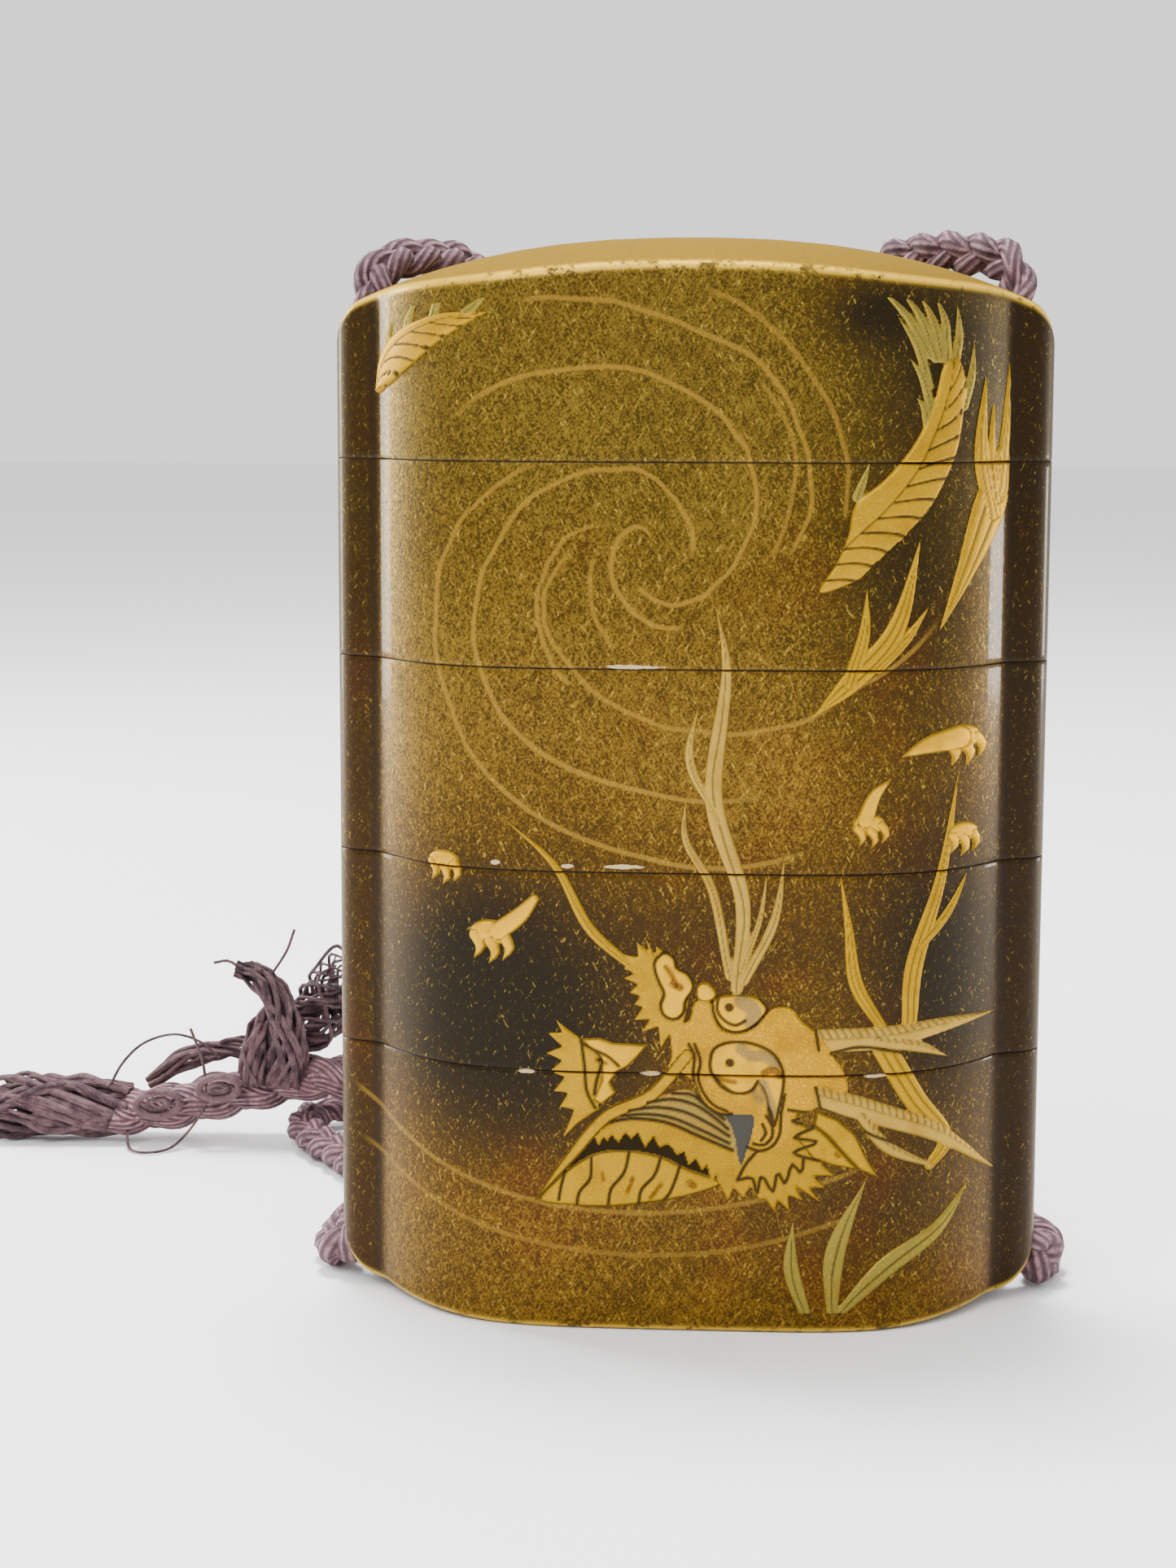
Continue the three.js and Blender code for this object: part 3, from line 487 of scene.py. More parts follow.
bundle = joined("open_bundle", lock(BUNDLE_WAY, [1.5, 2.9, 3.3, 2.9], 40, 0.24, 13, 0.9, 0.35)
                + lock(DARK_LOCK, [0.5, 1.1, 1.2, 1.3], 16, 0.30, 16, 0.5, 0.3), [TAIL_SILK], ["loose_bundle"])
print("faces of the frayed ends:", [len(piece.data.polygons) for piece in (tassel, tuft, bundle)])

# %% Single threads
def thread(way, thick=0.2, tint=0.3):
    return strand(through(way, 0.5), thick, 6, 0, tint)


def oval_loop(x, z, wide, high, lean, y=42.6):
    """A loop of loose yarn that lies against the front of the tail."""
    t = np.linspace(0, 2 * np.pi, 17)
    c, n = math.cos(lean), math.sin(lean)
    a, b = wide / 2 * np.cos(t), high / 2 * np.sin(t)
    return [(x + u * c - v * n, y - 0.25 * math.sin(k), z + u * n + v * c) for u, v, k in zip(a, b, t)]


threads = joined("single_threads", [
    thread([(-49.8, 46, 8.6), (-51.6, 45, 10.6), (-54.2, 44.6, 11.5), (-57.4, 44.6, 10.6), (-59.8, 45, 8.4),
            (-61.4, 45, 5.6)], 0.15),
    thread([(-50.8, 43.2, 4.4), (-52.6, 42.8, 1.8), (-54.2, 41, 0.4), (-56.2, 39.4, 0.3), (-58.2, 40.6, 0.3),
            (-59.2, 43.4, 1.6), (-59.4, 44.4, 3.0)], 0.15),
    thread([(-50.8, 43.6, 5.4), (-51.2, 43.4, 9.0), (-52.4, 43.4, 12.4)], 0.16),
    thread([(-46.8, 45, 17.8), (-48.6, 45, 19.2), (-50.2, 45, 19.0)], 0.16),
    thread([(-44.4, 45, 17.6), (-42.6, 45, 20.4), (-41.8, 45, 22.6)], 0.16),
    thread([(-40.2, 46, 18.0), (-37.6, 46, 20.8), (-36.0, 46, 19.6), (-34.6, 46, 21.6)], 0.2),
    *(thread(oval_loop(*where), 0.42, 0.9) for where in ((-55.7, 4.6, 4.6, 2.7, 0.15), (-49.4, 6.4, 4.2, 2.5, 0.12))),
    *(thread(oval_loop(*where), 0.3, 0.5) for where in ((-55.7, 4.6, 2.4, 1.1, 0.15), (-49.4, 6.4, 2.2, 1.0, 0.12))),
], [TAIL_SILK])
print("threads:", len(threads.data.polygons), "faces")

# %% [markdown]
# ## The shape of the case
# Seen from above, the case is two shallow curved faces with a half round ridge at each end, which holds the
# cord. The lid is domed and the underside rises a little at the ends. These are the formulas of the solids,
# and the shells below follow them with many more points, so that a glossy surface shows no facets.

# %% The sizes and curves of the case
HALF_WIDTH, HALF_DEPTH, CASE_HEIGHT = 30.0, 13.0, 90.0
RUNNER_PROUD, RUNNER_HALF = 3.6, 3.0
VALLEY = HALF_WIDTH - RUNNER_PROUD
SEAMS = [21.9 + 16.6 * i for i in range(4)]
RECESS, LIP, HOLLOW = (23.7, 11.5), (23.55, 11.35), (22.55, 10.35)
BORE_RADIUS, MOUTH_RADIUS = 1.95, 2.2


def face_reach(x):
    return RUNNER_HALF + (HALF_DEPTH - RUNNER_HALF) * (1 - np.minimum(1, np.abs(x) / VALLEY) ** 4.5)


def end_round(x, radius):
    into = np.clip(np.abs(x) - (HALF_WIDTH - radius), 0, radius)
    return radius - np.sqrt(radius * radius - into * into)


def top_height(x, y):
    to_ends = 6.1 * (np.abs(x) / HALF_WIDTH) ** 2.4
    return CASE_HEIGHT - to_ends - 2.5 * (y / HALF_DEPTH) ** 2 - end_round(x, 2.2)


def foot_height(x, y=0):
    out = np.maximum(0, np.abs(x) - 14) / (HALF_WIDTH - 14)
    return 1.6 * out ** 2 + end_round(x, 3.4)


def case_plan(face_steps=112, runner_steps=28):
    """The outline seen from above, counter-clockwise, with the valley beside each runner softly filled."""
    points = []
    for side in (-1, 1):
        share = np.linspace(-1, 1, face_steps + 1)
        x = -side * VALLEY * (0.4 * share + 0.6 * np.sin(share * np.pi / 2))
        points += list(zip(x, side * face_reach(x)))
        turn = (np.arange(1, runner_steps) / runner_steps - 0.5) * np.pi
        points += list(zip(-side * (VALLEY + RUNNER_PROUD * np.cos(turn)), -side * RUNNER_HALF * np.sin(turn)))
    points = np.array(points)
    creases = np.array([(sx * VALLEY, sy * RUNNER_HALF) for sx in (-1, 1) for sy in (-1, 1)])
    near = np.min(np.linalg.norm(points[:, None] - creases[None], axis=2), axis=1)
    soft = np.exp(-(near / 0.55) ** 2)[:, None] * 0.5
    for _ in range(14):
        points = points + soft * ((np.roll(points, 1, 0) + np.roll(points, -1, 0)) / 2 - points)
    return points


PLAN = case_plan()
OUTWARD = np.roll(PLAN, -1, 0) - np.roll(PLAN, 1, 0)
OUTWARD = np.column_stack([OUTWARD[:, 1], -OUTWARD[:, 0]])
OUTWARD /= np.linalg.norm(OUTWARD, axis=1)[:, None]
print("plan:", len(PLAN), "points")


def grown(by):
    return PLAN + OUTWARD * by


def rounded_plan(size):
    """The plan of a hollow or a lip, one point in line with each point of the case's plan."""
    turn = np.arctan2(PLAN[:, 1], PLAN[:, 0])
    reach = (np.abs(np.cos(turn) / size[0]) ** 3 + np.abs(np.sin(turn) / size[1]) ** 3) ** (-1 / 3)
    return np.column_stack([reach * np.cos(turn), reach * np.sin(turn)])


# %% [markdown]
# ## Shells in rings
# A turner thinks in profiles, and the case is close to turned work: a stack of rings from the hollow, over the
# rim, down the wall. So each case is one closed skin of rings. Each ring also says whether the skin after it
# is hidden inside, and how much rubbed gold and painted highlight its edge carries, for the materials to use.

# %% Rings and shells
class Ring:
    def __init__(self, points, height, inside=0, worn=0.0):
        self.points, self.inside, self.worn = points, inside, worn
        z = height(points[:, 0], points[:, 1]) if callable(height) else np.full(len(points), float(height))
        self.places = np.column_stack([points, z])


def edge_rings(height, side, radius=0.8, steps=6):
    """The rounded edge of the lid or the foot, from the wall to the flat, with its rubbed gold and painted highlight.
    """
    made = [Ring(grown(0), lambda x, y: height(x, y) - side * (radius + 0.35))]
    for turn in np.linspace(0, np.pi / 2, steps + 1):
        inset = grown(-radius * (1 - math.cos(turn)))
        rise = radius * (1 - math.sin(turn))
        # how much rubbed gold and painted highlight the edge gets, most halfway round it
        worn = math.sin(turn * 2) ** 3 if 0 < turn < np.pi / 2 else 0.0
        made.append(Ring(inset, lambda x, y: height(x, y) - side * rise, worn=worn))
    for share in (0.97, 0.93, 0.88, 0.8, 0.7, 0.58, 0.45, 0.3, 0.15, 0):
        made.append(Ring(grown(-radius) * share, height))
    return made


def seam_rings(height, rising):
    """The softened edge at a seam. rising is 1 where the wall starts here and -1 where it ends."""
    lines = [(-0.09, 0, 1), (-0.03, 0.03, 0), (0, 0.09, 0), (0, 0.5, 0)]
    made = [Ring(grown(inset), height + rising * up, inside) for inset, up, inside in lines]
    return made if rising > 0 else made[::-1]


def shell(name, node, rings):
    count = len(PLAN)
    points = np.vstack([r.places for r in rings])
    worn = np.repeat([r.worn for r in rings], count)
    faces, which = [], []
    for r in range(len(rings) - 1):
        i = np.arange(count)
        nxt = (i + 1) % count
        quads = np.column_stack([r * count + i, r * count + nxt, (r + 1) * count + nxt, (r + 1) * count + i])
        faces += quads.tolist()
        which += [1 if rings[r].inside and rings[r + 1].inside else 0] * count
    piece = piece_from(name, points, faces, [GROUND, INNER], which)
    point_value(piece, "worn", worn)
    close_ends(piece.data)
    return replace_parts(piece, node)


def close_ends(mesh):
    """Melts each ring that has shrunk to one place into a single point."""
    made = bmesh.new()
    made.from_mesh(mesh)
    bmesh.ops.remove_doubles(made, verts=made.verts, dist=1e-7)
    bmesh.ops.recalc_face_normals(made, faces=made.faces)
    made.to_mesh(mesh)
    made.free()


# %% [markdown]
# ## The sprinkled ground
# The ground is black lacquer with gold and coloured gold dust sifted over it through a tube, thick in the
# middle and thin in the dark patches, then lacquered over and polished. Very thin lines of brighter dust turn
# in a whirlpool from a point above the middle. Being flat, they belong to the material and not to the mesh.
# Each line says how far out it is at each turn, and a place near that distance takes the brighter gold.

# %% Finish: the sprinkled ground
WHIRL_X, WHIRL_Z, WHIRL_REACH = -2.8, 64.1, 60.0
# how strong each line is, and its turn in degrees and its distance in millimetres from the middle on its way
WHIRL_LINES = [
    (1.0, [(85, 1.5), (110, 2.6), (140, 2.95), (180, 3.15), (210, 3.6), (240, 4.2), (270, 5.3), (300, 6.2)]),
    (1.0, [(240, 2.5), (270, 3.2), (290, 4), (320, 5), (345, 6), (375, 8.2), (405, 11), (420, 12.3), (450, 14.5),
           (480, 17), (510, 20)]),
    (1.0, [(0, 3.3), (30, 3.8), (60, 4.6), (80, 5.7), (97, 7), (120, 8.1), (150, 10.4), (180, 13), (200, 15.4),
           (225, 17.6), (270, 19), (300, 21.5)]),
    (0.9, [(150, 5.2), (165, 6.8), (180, 8), (195, 9.4), (225, 11.5), (240, 12.2)]),
    (0.9, [(173, 6.3), (195, 8.6), (210, 10), (240, 11.3), (270, 13.2), (290, 15), (310, 17.5), (330, 20), (350, 24)]),
    (0.8, [(180, 4.6), (210, 5.6), (225, 6.5), (240, 7.3), (250, 8)]),
    (0.9, [(140, 12), (165, 15), (180, 17), (200, 19), (225, 21.6), (270, 24.4), (300, 27)]),
    (0.9, [(0, 11), (15, 13), (30, 14.5), (45, 16), (60, 17.6), (80, 18.4), (95, 20.0), (109, 21.7), (120, 23.1)]),
    (0.7, [(11, 15.7), (23, 17.0), (37, 18.3), (52, 19.5), (67, 20.9), (80, 21.7)]),
    (0.7, [(0, 9.6), (30, 13.2), (60, 16.5)]),
    (0.6, [(240, 52.6), (250, 53.7), (270, 54), (290, 53)]),
    (0.5, [(243, 56.4), (255, 57.3), (275, 57.5), (288, 56.6)]),
]
# x, z, half width, half height and strength of each dark patch
DARK_PATCHES = [(-17, 30, 9, 9, 0.9), (-14, 24, 12, 9, 0.85), (5, 33, 12, 6, 0.45), (22, 30, 7, 14, 0.9),
                (14, 10, 10, 6, 0.5), (18, 62, 6, 10, 0.65), (21, 80, 6, 8, 0.8), (15, 83.5, 4, 2.5, 0.8)]
# x and z of pale chips along the seams, with their half length
SEAM_CHIPS = [(-12.8, 21.8, 0.9), (-2.5, 21.9, 0.9), (15.8, 21.8, 0.8), (-4.8, 39.0, 1.6), (-9.5, 39.0, 0.5),
              (-4.3, 55.3, 2.4), (-15.5, 39.1, 0.4)]


def nearest_of(values):
    low = values[0]
    for value in values[1:]:
        low = low.math("MINIMUM", low, value)
    return low


def whirl_mask(finish, x, z):
    """How strongly a whirlpool line crosses this place, from 0 to 1."""
    across, high = x - WHIRL_X, z - WHIRL_Z
    far = (across * across + high * high + 0.01) ** 0.5
    degrees = high.math("ARCTAN2", high, across) * (180 / math.pi)
    total = None
    for strength, course in WHIRL_LINES:
        first, span = course[0][0], course[-1][0] - course[0][0]
        turned = degrees - first
        share = turned.math("FLOORED_MODULO", turned, 360.0) / span
        reach = finish.course(share, [((a - first) / span, r / WHIRL_REACH) for a, r in course]) * WHIRL_REACH
        off = abs(far - reach)
        ends = finish.step(share, 1.0, 0.94) * finish.step(share, 0.0, 0.05)
        mark = finish.step(off, 0.31, 0.08) * ends * strength
        total = mark if total is None else total.math("MAXIMUM", total, mark)
    return total


# the first colour is rubbed gold with a painted highlight, for the rounded edges of the lid and the foot
WORN_GOLD_AND_HIGHLIGHT, LID_GOLD, WHIRL_GOLD = (0.60, 0.37, 0.03), (0.175, 0.100, 0.003), (0.27, 0.155, 0.018)
CHIP_PALE, SEAM_DARK, RUNNER_BROWN = (0.42, 0.30, 0.17), (0.010, 0.006, 0.004), (0.020, 0.007, 0.001)


def ground_finish():
    ground = Finish("sprinkled_ground", coat_roughness=0.07, specular_ior_level=0.05,
                    specular_tint=(1.0, 0.85, 0.60, 1))
    spot, x, y, z = ground.place()
    facing_up = ground.node("SeparateXYZ", sockets={0: ground.node("TexCoord", out=1)}, out=2)
    on_lid = ground.step(facing_up, 0.55, 0.8) * ground.step(z, 60, 70)
    front = ground.step(y, 1.5, -1.5)
    # how thick the dust lies
    thick = None
    for px, pz, rx, rz, strength in DARK_PATCHES:
        dx, dz = (x - px) / rx, (z - pz) / rz
        away = (dx * dx + dz * dz) * -0.7
        here = 1 - away.math("EXPONENT", away) * strength
        thick = here if thick is None else thick * here
    runners = ground.step(abs(x), 24.9, 27.2)
    clouds = ground.noise(spot, 14, 3.0)
    middling = ground.noise(spot, 1.6, 4.0, 0.65)
    thick = thick * front + (1 - front) * ground.step(clouds, 0.3, 0.6)
    thick = thick * (0.62 + clouds * 0.6 + middling * 0.16)
    # the dust on the runners is thicker on the left than on the right: painted light on the left runner and painted
    # shade on the right
    thick = ground.blend(runners, thick, 0.42 - ground.step(x, -10, 10) * 0.24)
    # fine grains, and flecks that slant in two directions
    grain = ground.noise(spot, 0.2, 3.0, 0.7)
    one, other = ground.slanted(spot, 0.20, 0.75, 32, 3.1), ground.slanted(spot, 0.20, 0.75, -26, 17.7)
    fleck = one.math("MAXIMUM", one, other)
    dust = ground.step(grain * 0.8 + fleck * 0.6 + thick * 0.20 + middling * 0.10, 0.84, 1.12)
    bright = ground.step(fleck + grain * 0.35, 0.84, 0.94)
    # colours: olive gold above, red brown in places, nearly black in the dark patches
    high = ground.step(z + clouds * 30, 48, 92)
    rust = ground.step(ground.noise(spot, 9, 2.0), 0.50, 0.68) * (1 - high * 0.8)
    body = ground.mix(high, (0.040, 0.018, 0.001), (0.032, 0.019, 0.002))
    body = ground.mix(rust * 0.8, body, (0.060, 0.015, 0.001))
    body = ground.mix(ground.step(thick, 0.05, 0.75), (0.009, 0.006, 0.002), body)
    gold = ground.mix(high, (0.185, 0.098, 0.007), (0.150, 0.094, 0.010))
    colour = ground.mix(dust * (0.20 + thick * 0.78), body, gold)
    colour = ground.mix(bright * (0.30 + thick * 0.30), colour, (0.42, 0.28, 0.04))
    low = ground.step(z, 20, 3)
    colour = ground.mix(low * 0.15, colour, (0.030, 0.014, 0.001))
    red = ground.step(ground.noise(spot, 5, 2.0), 0.35, 0.6)
    colour = ground.mix(runners * (0.12 + red * 0.3), colour, RUNNER_BROWN)
    # painted shade in the valley where each face meets its runner
    valley = ground.step(abs(abs(x) - 26.5), 0.75, 0.1)
    colour = ground.mix(valley * 0.75, colour, (0.012, 0.006, 0.002))
    whirl = whirl_mask(ground, x, z) * front * (0.5 + grain * 0.7)
    colour = ground.mix(whirl * 0.72, colour, WHIRL_GOLD)
    colour = ground.mix(on_lid * 0.85, colour, LID_GOLD)
    # rubbed gold with a painted highlight on the rounded edges, and pale ground showing in the chips along the seams
    rubbed = ground.step(ground.noise(spot, 1.2, 4.0, 0.7) + abs(x) * 0.004, 0.40, 0.54)
    worn = ground.attribute("worn") * rubbed
    colour = ground.mix(worn, colour, WORN_GOLD_AND_HIGHLIGHT)
    ragged = ground.noise(spot, 0.9, 4.0, 0.6)
    seam = near_seam(z)
    hair = ground.step(seam - (ragged - 0.5) * 0.12, 0.15, 0.05)
    colour = ground.mix(hair * 0.7, colour, SEAM_DARK)
    chips = []
    for px, pz, half in SEAM_CHIPS:
        dx, dz = (x - px) / half, (z - pz) / 0.17
        chips.append(dx * dx + dz * dz)
    chip = ground.step(nearest_of(chips) + (ragged - 0.5) * 3.4, 1.1, 0.7) * front
    colour = ground.mix(chip, colour, CHIP_PALE)
    ground.feed(base_color=colour, metallic=(0.25 + dust * 0.35) * (1 - chip),
                roughness=0.34 + grain * 0.14 - dust * 0.06 + on_lid * 0.3, coat_weight=0.10 - on_lid * 0.10)
    ground.feed(normal=ground.bump(fleck * 0.5 + grain * 0.5 + middling * 0.5, 0.04, 0.7))
    return ground.material


def near_seam(z):
    """The distance to the nearest seam."""
    return nearest_of([abs(z - seam) for seam in SEAMS])


def inner_finish():
    inner = Finish("inside_lacquer", coat_weight=0.3, coat_roughness=0.2)
    spot = inner.place()[0]
    sparse = inner.step(inner.noise(spot, 0.3, 2.0), 0.62, 0.75)
    inner.feed(base_color=inner.mix(sparse, (0.028, 0.012, 0.008), (0.42, 0.27, 0.07)),
               roughness=0.32 + inner.noise(spot, 3.0) * 0.15, metallic=sparse * 0.6)
    inner.feed(normal=inner.bump(inner.noise(spot, 0.4), 0.01))
    return inner.material


GROUND, INNER = ground_finish(), inner_finish()
print("finishes:", GROUND.name, INNER.name, len(GROUND.node_tree.nodes), "nodes")

# %% [markdown]
# ## The lid and the cases
# The lid has a plain recess, each case has a lip that enters the piece above, and the lowest one has the foot.
# The cord holes are cut last, with round cutters, as the maker drills the ends after the walls are built up.

# %% Build the five shells
def lip_and_hollow(seam, floor):
    outer, inner = rounded_plan(LIP), rounded_plan(HOLLOW)
    rows = [(grown(-0.3), seam), (outer, seam), (outer, seam + 3.8), (outer * 0.995, seam + 4),
            (inner * 1.005, seam + 4), (inner, seam + 3.8), (inner, floor + 0.6), (inner * 0.97, floor),
            (inner * 0.5, floor), (inner * 0, floor)]
    return [Ring(points, height, 1) for points, height in rows]


def under_recess(low, ceiling):
    under = rounded_plan(RECESS)
    side = ceiling - 0.5 if not callable(ceiling) else lambda x, y: ceiling(x, y) - 0.5
    rows = [(under * 0, ceiling), (under * 0.5, ceiling), (under * 0.97, ceiling), (under, side), (under, low),
            (grown(-0.3), low)]
    return [Ring(points, height, 1) for points, height in rows]


def cutters():
    """Round bars for the holes, and bent ones for the worn mouths under the feet."""
    bars = [strand([(side * HOLE_X, 0, z) for z in (-6, 40, 80, 96)], BORE_RADIUS, 48) for side in (-1, 1)]
    mouths = [strand(through(way, 0.5), MOUTH_RADIUS, 32) for way in (FOOT_WAY, mirrored(FOOT_WAY))]
    made = []
    for name, tubes in (("bars", bars), ("mouths", mouths)):
        cutter = joined(name, tubes, [GROUND, INNER], lying=False)
        cutter.data.polygons.foreach_set("material_index", np.ones(len(cutter.data.polygons), np.int32))
        made.append(cutter)
    return made


def cut(piece, cutter):
    hole = piece.modifiers.new("hole", "BOOLEAN")
    hole.operation, hole.solver, hole.object = "DIFFERENCE", "EXACT", cutter
    after = bpy.data.meshes.new_from_object(piece.evaluated_get(bpy.context.evaluated_depsgraph_get()))
    piece.modifiers.clear()
    piece.data = after
    for extra in ("along", "round", "tint"):
        if extra in after.attributes:
            after.attributes.remove(after.attributes[extra])


top = SEAMS[3]
shells = [shell("lid_shell", "lid", [*under_recess(top, lambda x, y: top_height(x, y) - 2),
                                     *seam_rings(top, 1), *edge_rings(top_height, 1)])]
for i in (3, 2, 1):
    low, high = SEAMS[i - 1], SEAMS[i]
    shells.append(shell(f"case_{4 - i}_shell", f"case_{4 - i}",
                        [*under_recess(low, low + 4.3), *seam_rings(low, 1), *seam_rings(high, -1),
                         *lip_and_hollow(high, low + 5.6)]))
foot = edge_rings(foot_height, -1)[::-1]
shells.append(shell("case_4_shell", "case_4", [*foot, *seam_rings(SEAMS[0], -1), *lip_and_hollow(SEAMS[0], 2.2)]))
bars, mouths = cutters()
for piece in shells:
    cut(piece, bars)
cut(shells[-1], mouths)
for cutter in (bars, mouths):
    bpy.data.objects.remove(cutter)
for piece in shells:
    print(piece.name, len(piece.data.polygons), "faces,", [a.name for a in piece.data.attributes][:8])

# %% [markdown]
# ## Raised gold
# The dragon is modelled on the lacquer in a paste of lacquer and charcoal dust, coat on coat, up to about
# half a millimetre, and then gilded and engraved. A brush works in strokes, so the figures are described the
# same way: bands that swell and thin out along a curve, and ovals with a plain or a toothed edge. Each shape
# can tell how deep inside its own outline a place is, and how far along and across. Heights, colours and
# engraved lines are all worked out from that.

# %% Brush strokes, ovals and outlines
class Stroke:
    """A band through points, each with its width. A width of 0 is a point."""

    def __init__(self, points, widths):
        widths = list(widths) + [widths[-1]] * (len(points) - len(widths))
        line = through([(x, w / 2, z) for (x, z), w in zip(points, widths)], 0.45)
        self.line, self.half = line[:, [0, 2]], np.maximum(line[:, 1], 0)
        self.low = (self.line - self.half[:, None]).min(axis=0)
        self.high = (self.line + self.half[:, None]).max(axis=0)

    def measure(self, x, z):
        """How deep inside, how far along in millimetres, and how far across from -1 to 1."""
        spots = np.column_stack([x, z])
        deep, along, across = np.full(len(x), -9.0), np.zeros(len(x)), np.zeros(len(x))
        run = 0.0
        for a, b, wide_a, wide_b in zip(self.line, self.line[1:], self.half, self.half[1:]):
            way = b - a
            size = max(float(np.hypot(*way)), 1e-6)
            t = np.clip(((spots - a) @ way) / size ** 2, 0, 1)
            off = spots - (a + t[:, None] * way)
            wide = wide_a + t * (wide_b - wide_a)
            here = wide - np.hypot(off[:, 0], off[:, 1])
            better = here > deep
            deep[better] = here[better]
            along[better] = (run + t * size)[better]
            side = (way[0] * off[:, 1] - way[1] * off[:, 0]) / size / np.maximum(wide, 0.05)
            across[better] = side[better]
            run += size
        return deep, along, across


class Oval:
    """A plain oval."""

    def __init__(self, centre, rx, rz):
        self.centre, self.radii = np.array(centre), np.array([rx, rz])
        self.low, self.high = self.centre - self.radii, self.centre + self.radii

    def measure(self, x, z):
        dx, dz = (x - self.centre[0]) / self.radii[0], (z - self.centre[1]) / self.radii[1]
        out, turn = np.hypot(dx, dz), np.arctan2(dz, dx)
        size = np.hypot(self.radii[0] * np.cos(turn), self.radii[1] * np.sin(turn))
        return (1 - out) * size * 0.9, turn, out


class Outline:
    """A closed outline, with sharp corners, or with smooth=True as one soft curve. Where it has a middle line,
    the way along and across is taken from that stroke."""

    def __init__(self, points, smooth=False, middle=None):
        self.middle = middle
        if smooth:
            ring = through([(x, 0, z) for x, z in points[-2:] + points + points[:2]], 0.4)[:, [0, 2]]
            first = np.argmin(np.hypot(*(ring[:len(ring) // 3] - points[0]).T))
            last = len(ring) // 2 + np.argmin(np.hypot(*(ring[len(ring) // 2:] - points[0]).T))
            points = ring[first:last]
        self.points = np.asarray(points, float)
        self.low, self.high = self.points.min(axis=0), self.points.max(axis=0)

    def measure(self, x, z):
        inside, nearest = np.zeros(len(x), bool), np.full(len(x), 99.0)
        for (ax, az), (bx, bz) in zip(self.points, np.roll(self.points, -1, 0)):
            size = max((bx - ax) ** 2 + (bz - az) ** 2, 1e-9)
            t = np.clip(((x - ax) * (bx - ax) + (z - az) * (bz - az)) / size, 0, 1)
            nearest = np.minimum(nearest, np.hypot(x - ax - t * (bx - ax), z - az - t * (bz - az)))
            if az != bz:
                crossing = (az > z) != (bz > z)
                inside ^= crossing & (x < ax + (z - az) * (bx - ax) / (bz - az))
        deep = np.where(inside, nearest, -nearest)
        return (deep, *self.middle.measure(x, z)[1:]) if self.middle else (deep, x, z)


def strokes(widths, *ways):
    return [Stroke(way, widths) for way in ways]


def paw(centre, size, turn_degrees):
    """A small paw with three hooked claws."""
    c, s = math.cos(math.radians(turn_degrees)), math.sin(math.radians(turn_degrees))

    def at(a, b):
        return [centre[0] + size * (a * c - b * s), centre[1] + size * (a * s + b * c)]

    def claw(a, b):
        return Stroke([at(a, b), at(a + 0.25, b - 0.5), at(a - 0.1, b - 1.15)], [size * 0.6, size * 0.5, 0])

    return [Oval(at(0, 0.25), size * 0.95, size * 0.6), claw(-0.7, 0.1), claw(0, -0.1), claw(0.65, 0.1)]


def fins(points, start, end, count, offset, length, width, side=1):
    """A row of small fins along one side of a curve."""
    line = through([(x, 0, z) for x, z in points], 0.2)[:, [0, 2]]
    made = []
    for i in range(count):
        k = int((start + (end - start) * i / (count - 1)) * (len(line) - 2))
        place, along = line[k], line[k + 1] - line[k]
        along = along / np.hypot(*along)
        left = np.array([-along[1], along[0]]) * side
        tips = [place + left * out - along * back
                for out, back in ((offset, 0), (offset + length * 0.6, length * 0.3), (offset + length, length))]
        made.append(Stroke([tuple(t) for t in tips], [width, width, 0]))
    return made


# %% The figures of the front, as in the solids
lip_edge = Stroke([[0.4, 23.5], [-2.5, 20.1], [-6.2, 18.2], [-9.1, 14.8], [-12.5, 10.4]], [1.1, 1.1, 1.1, 0.9, 0])
horns = [
    Stroke([[10.7, 24.8], [16.7, 25], [21.5, 25.6], [26.1, 25.8]], [2, 1.9, 1.2, 0]),
    Stroke([[16, 24.7], [19.4, 24], [21.9, 22.8]], [1.1, 1, 0]),
    Stroke([[10.8, 20.3], [15.5, 18.8], [21, 16.5], [26.6, 11.7]], [1.9, 2, 1.5, 0]),
    Stroke([[14.7, 18.4], [16.7, 15.9], [20.4, 13.9]], [0.9, 1.1, 0.4]),
]
whiskers = [
    Stroke([[-3.7, 30.4], [-7.6, 33.8], [-10.6, 39.1], [-14.7, 42.7]], [0.7, 0.9, 0.6, 0]),
    Stroke([[4.4, 29.1], [4.8, 36.2], [2.4, 44.5], [3.3, 55.4], [2.4, 60.3]], [1.1, 1.3, 1.5, 0.8, 0]),
    Stroke([[2.9, 42.8], [0.4, 47.8], [1.1, 52.3]], [0.5, 0.8, 0]),
    Stroke([[3.8, 30.1], [2.2, 37.5], [0.1, 41.4], [0.1, 44.6]], [0.8, 0.8, 0.6, 0]),
    Stroke([[5, 29.7], [7.4, 34.8], [8.2, 40.2]], [0.8, 0.8, 0]),
    Stroke([[4.7, 30.4], [6.2, 34.8], [6.8, 38.9]], [0.5, 0.5, 0]),
]
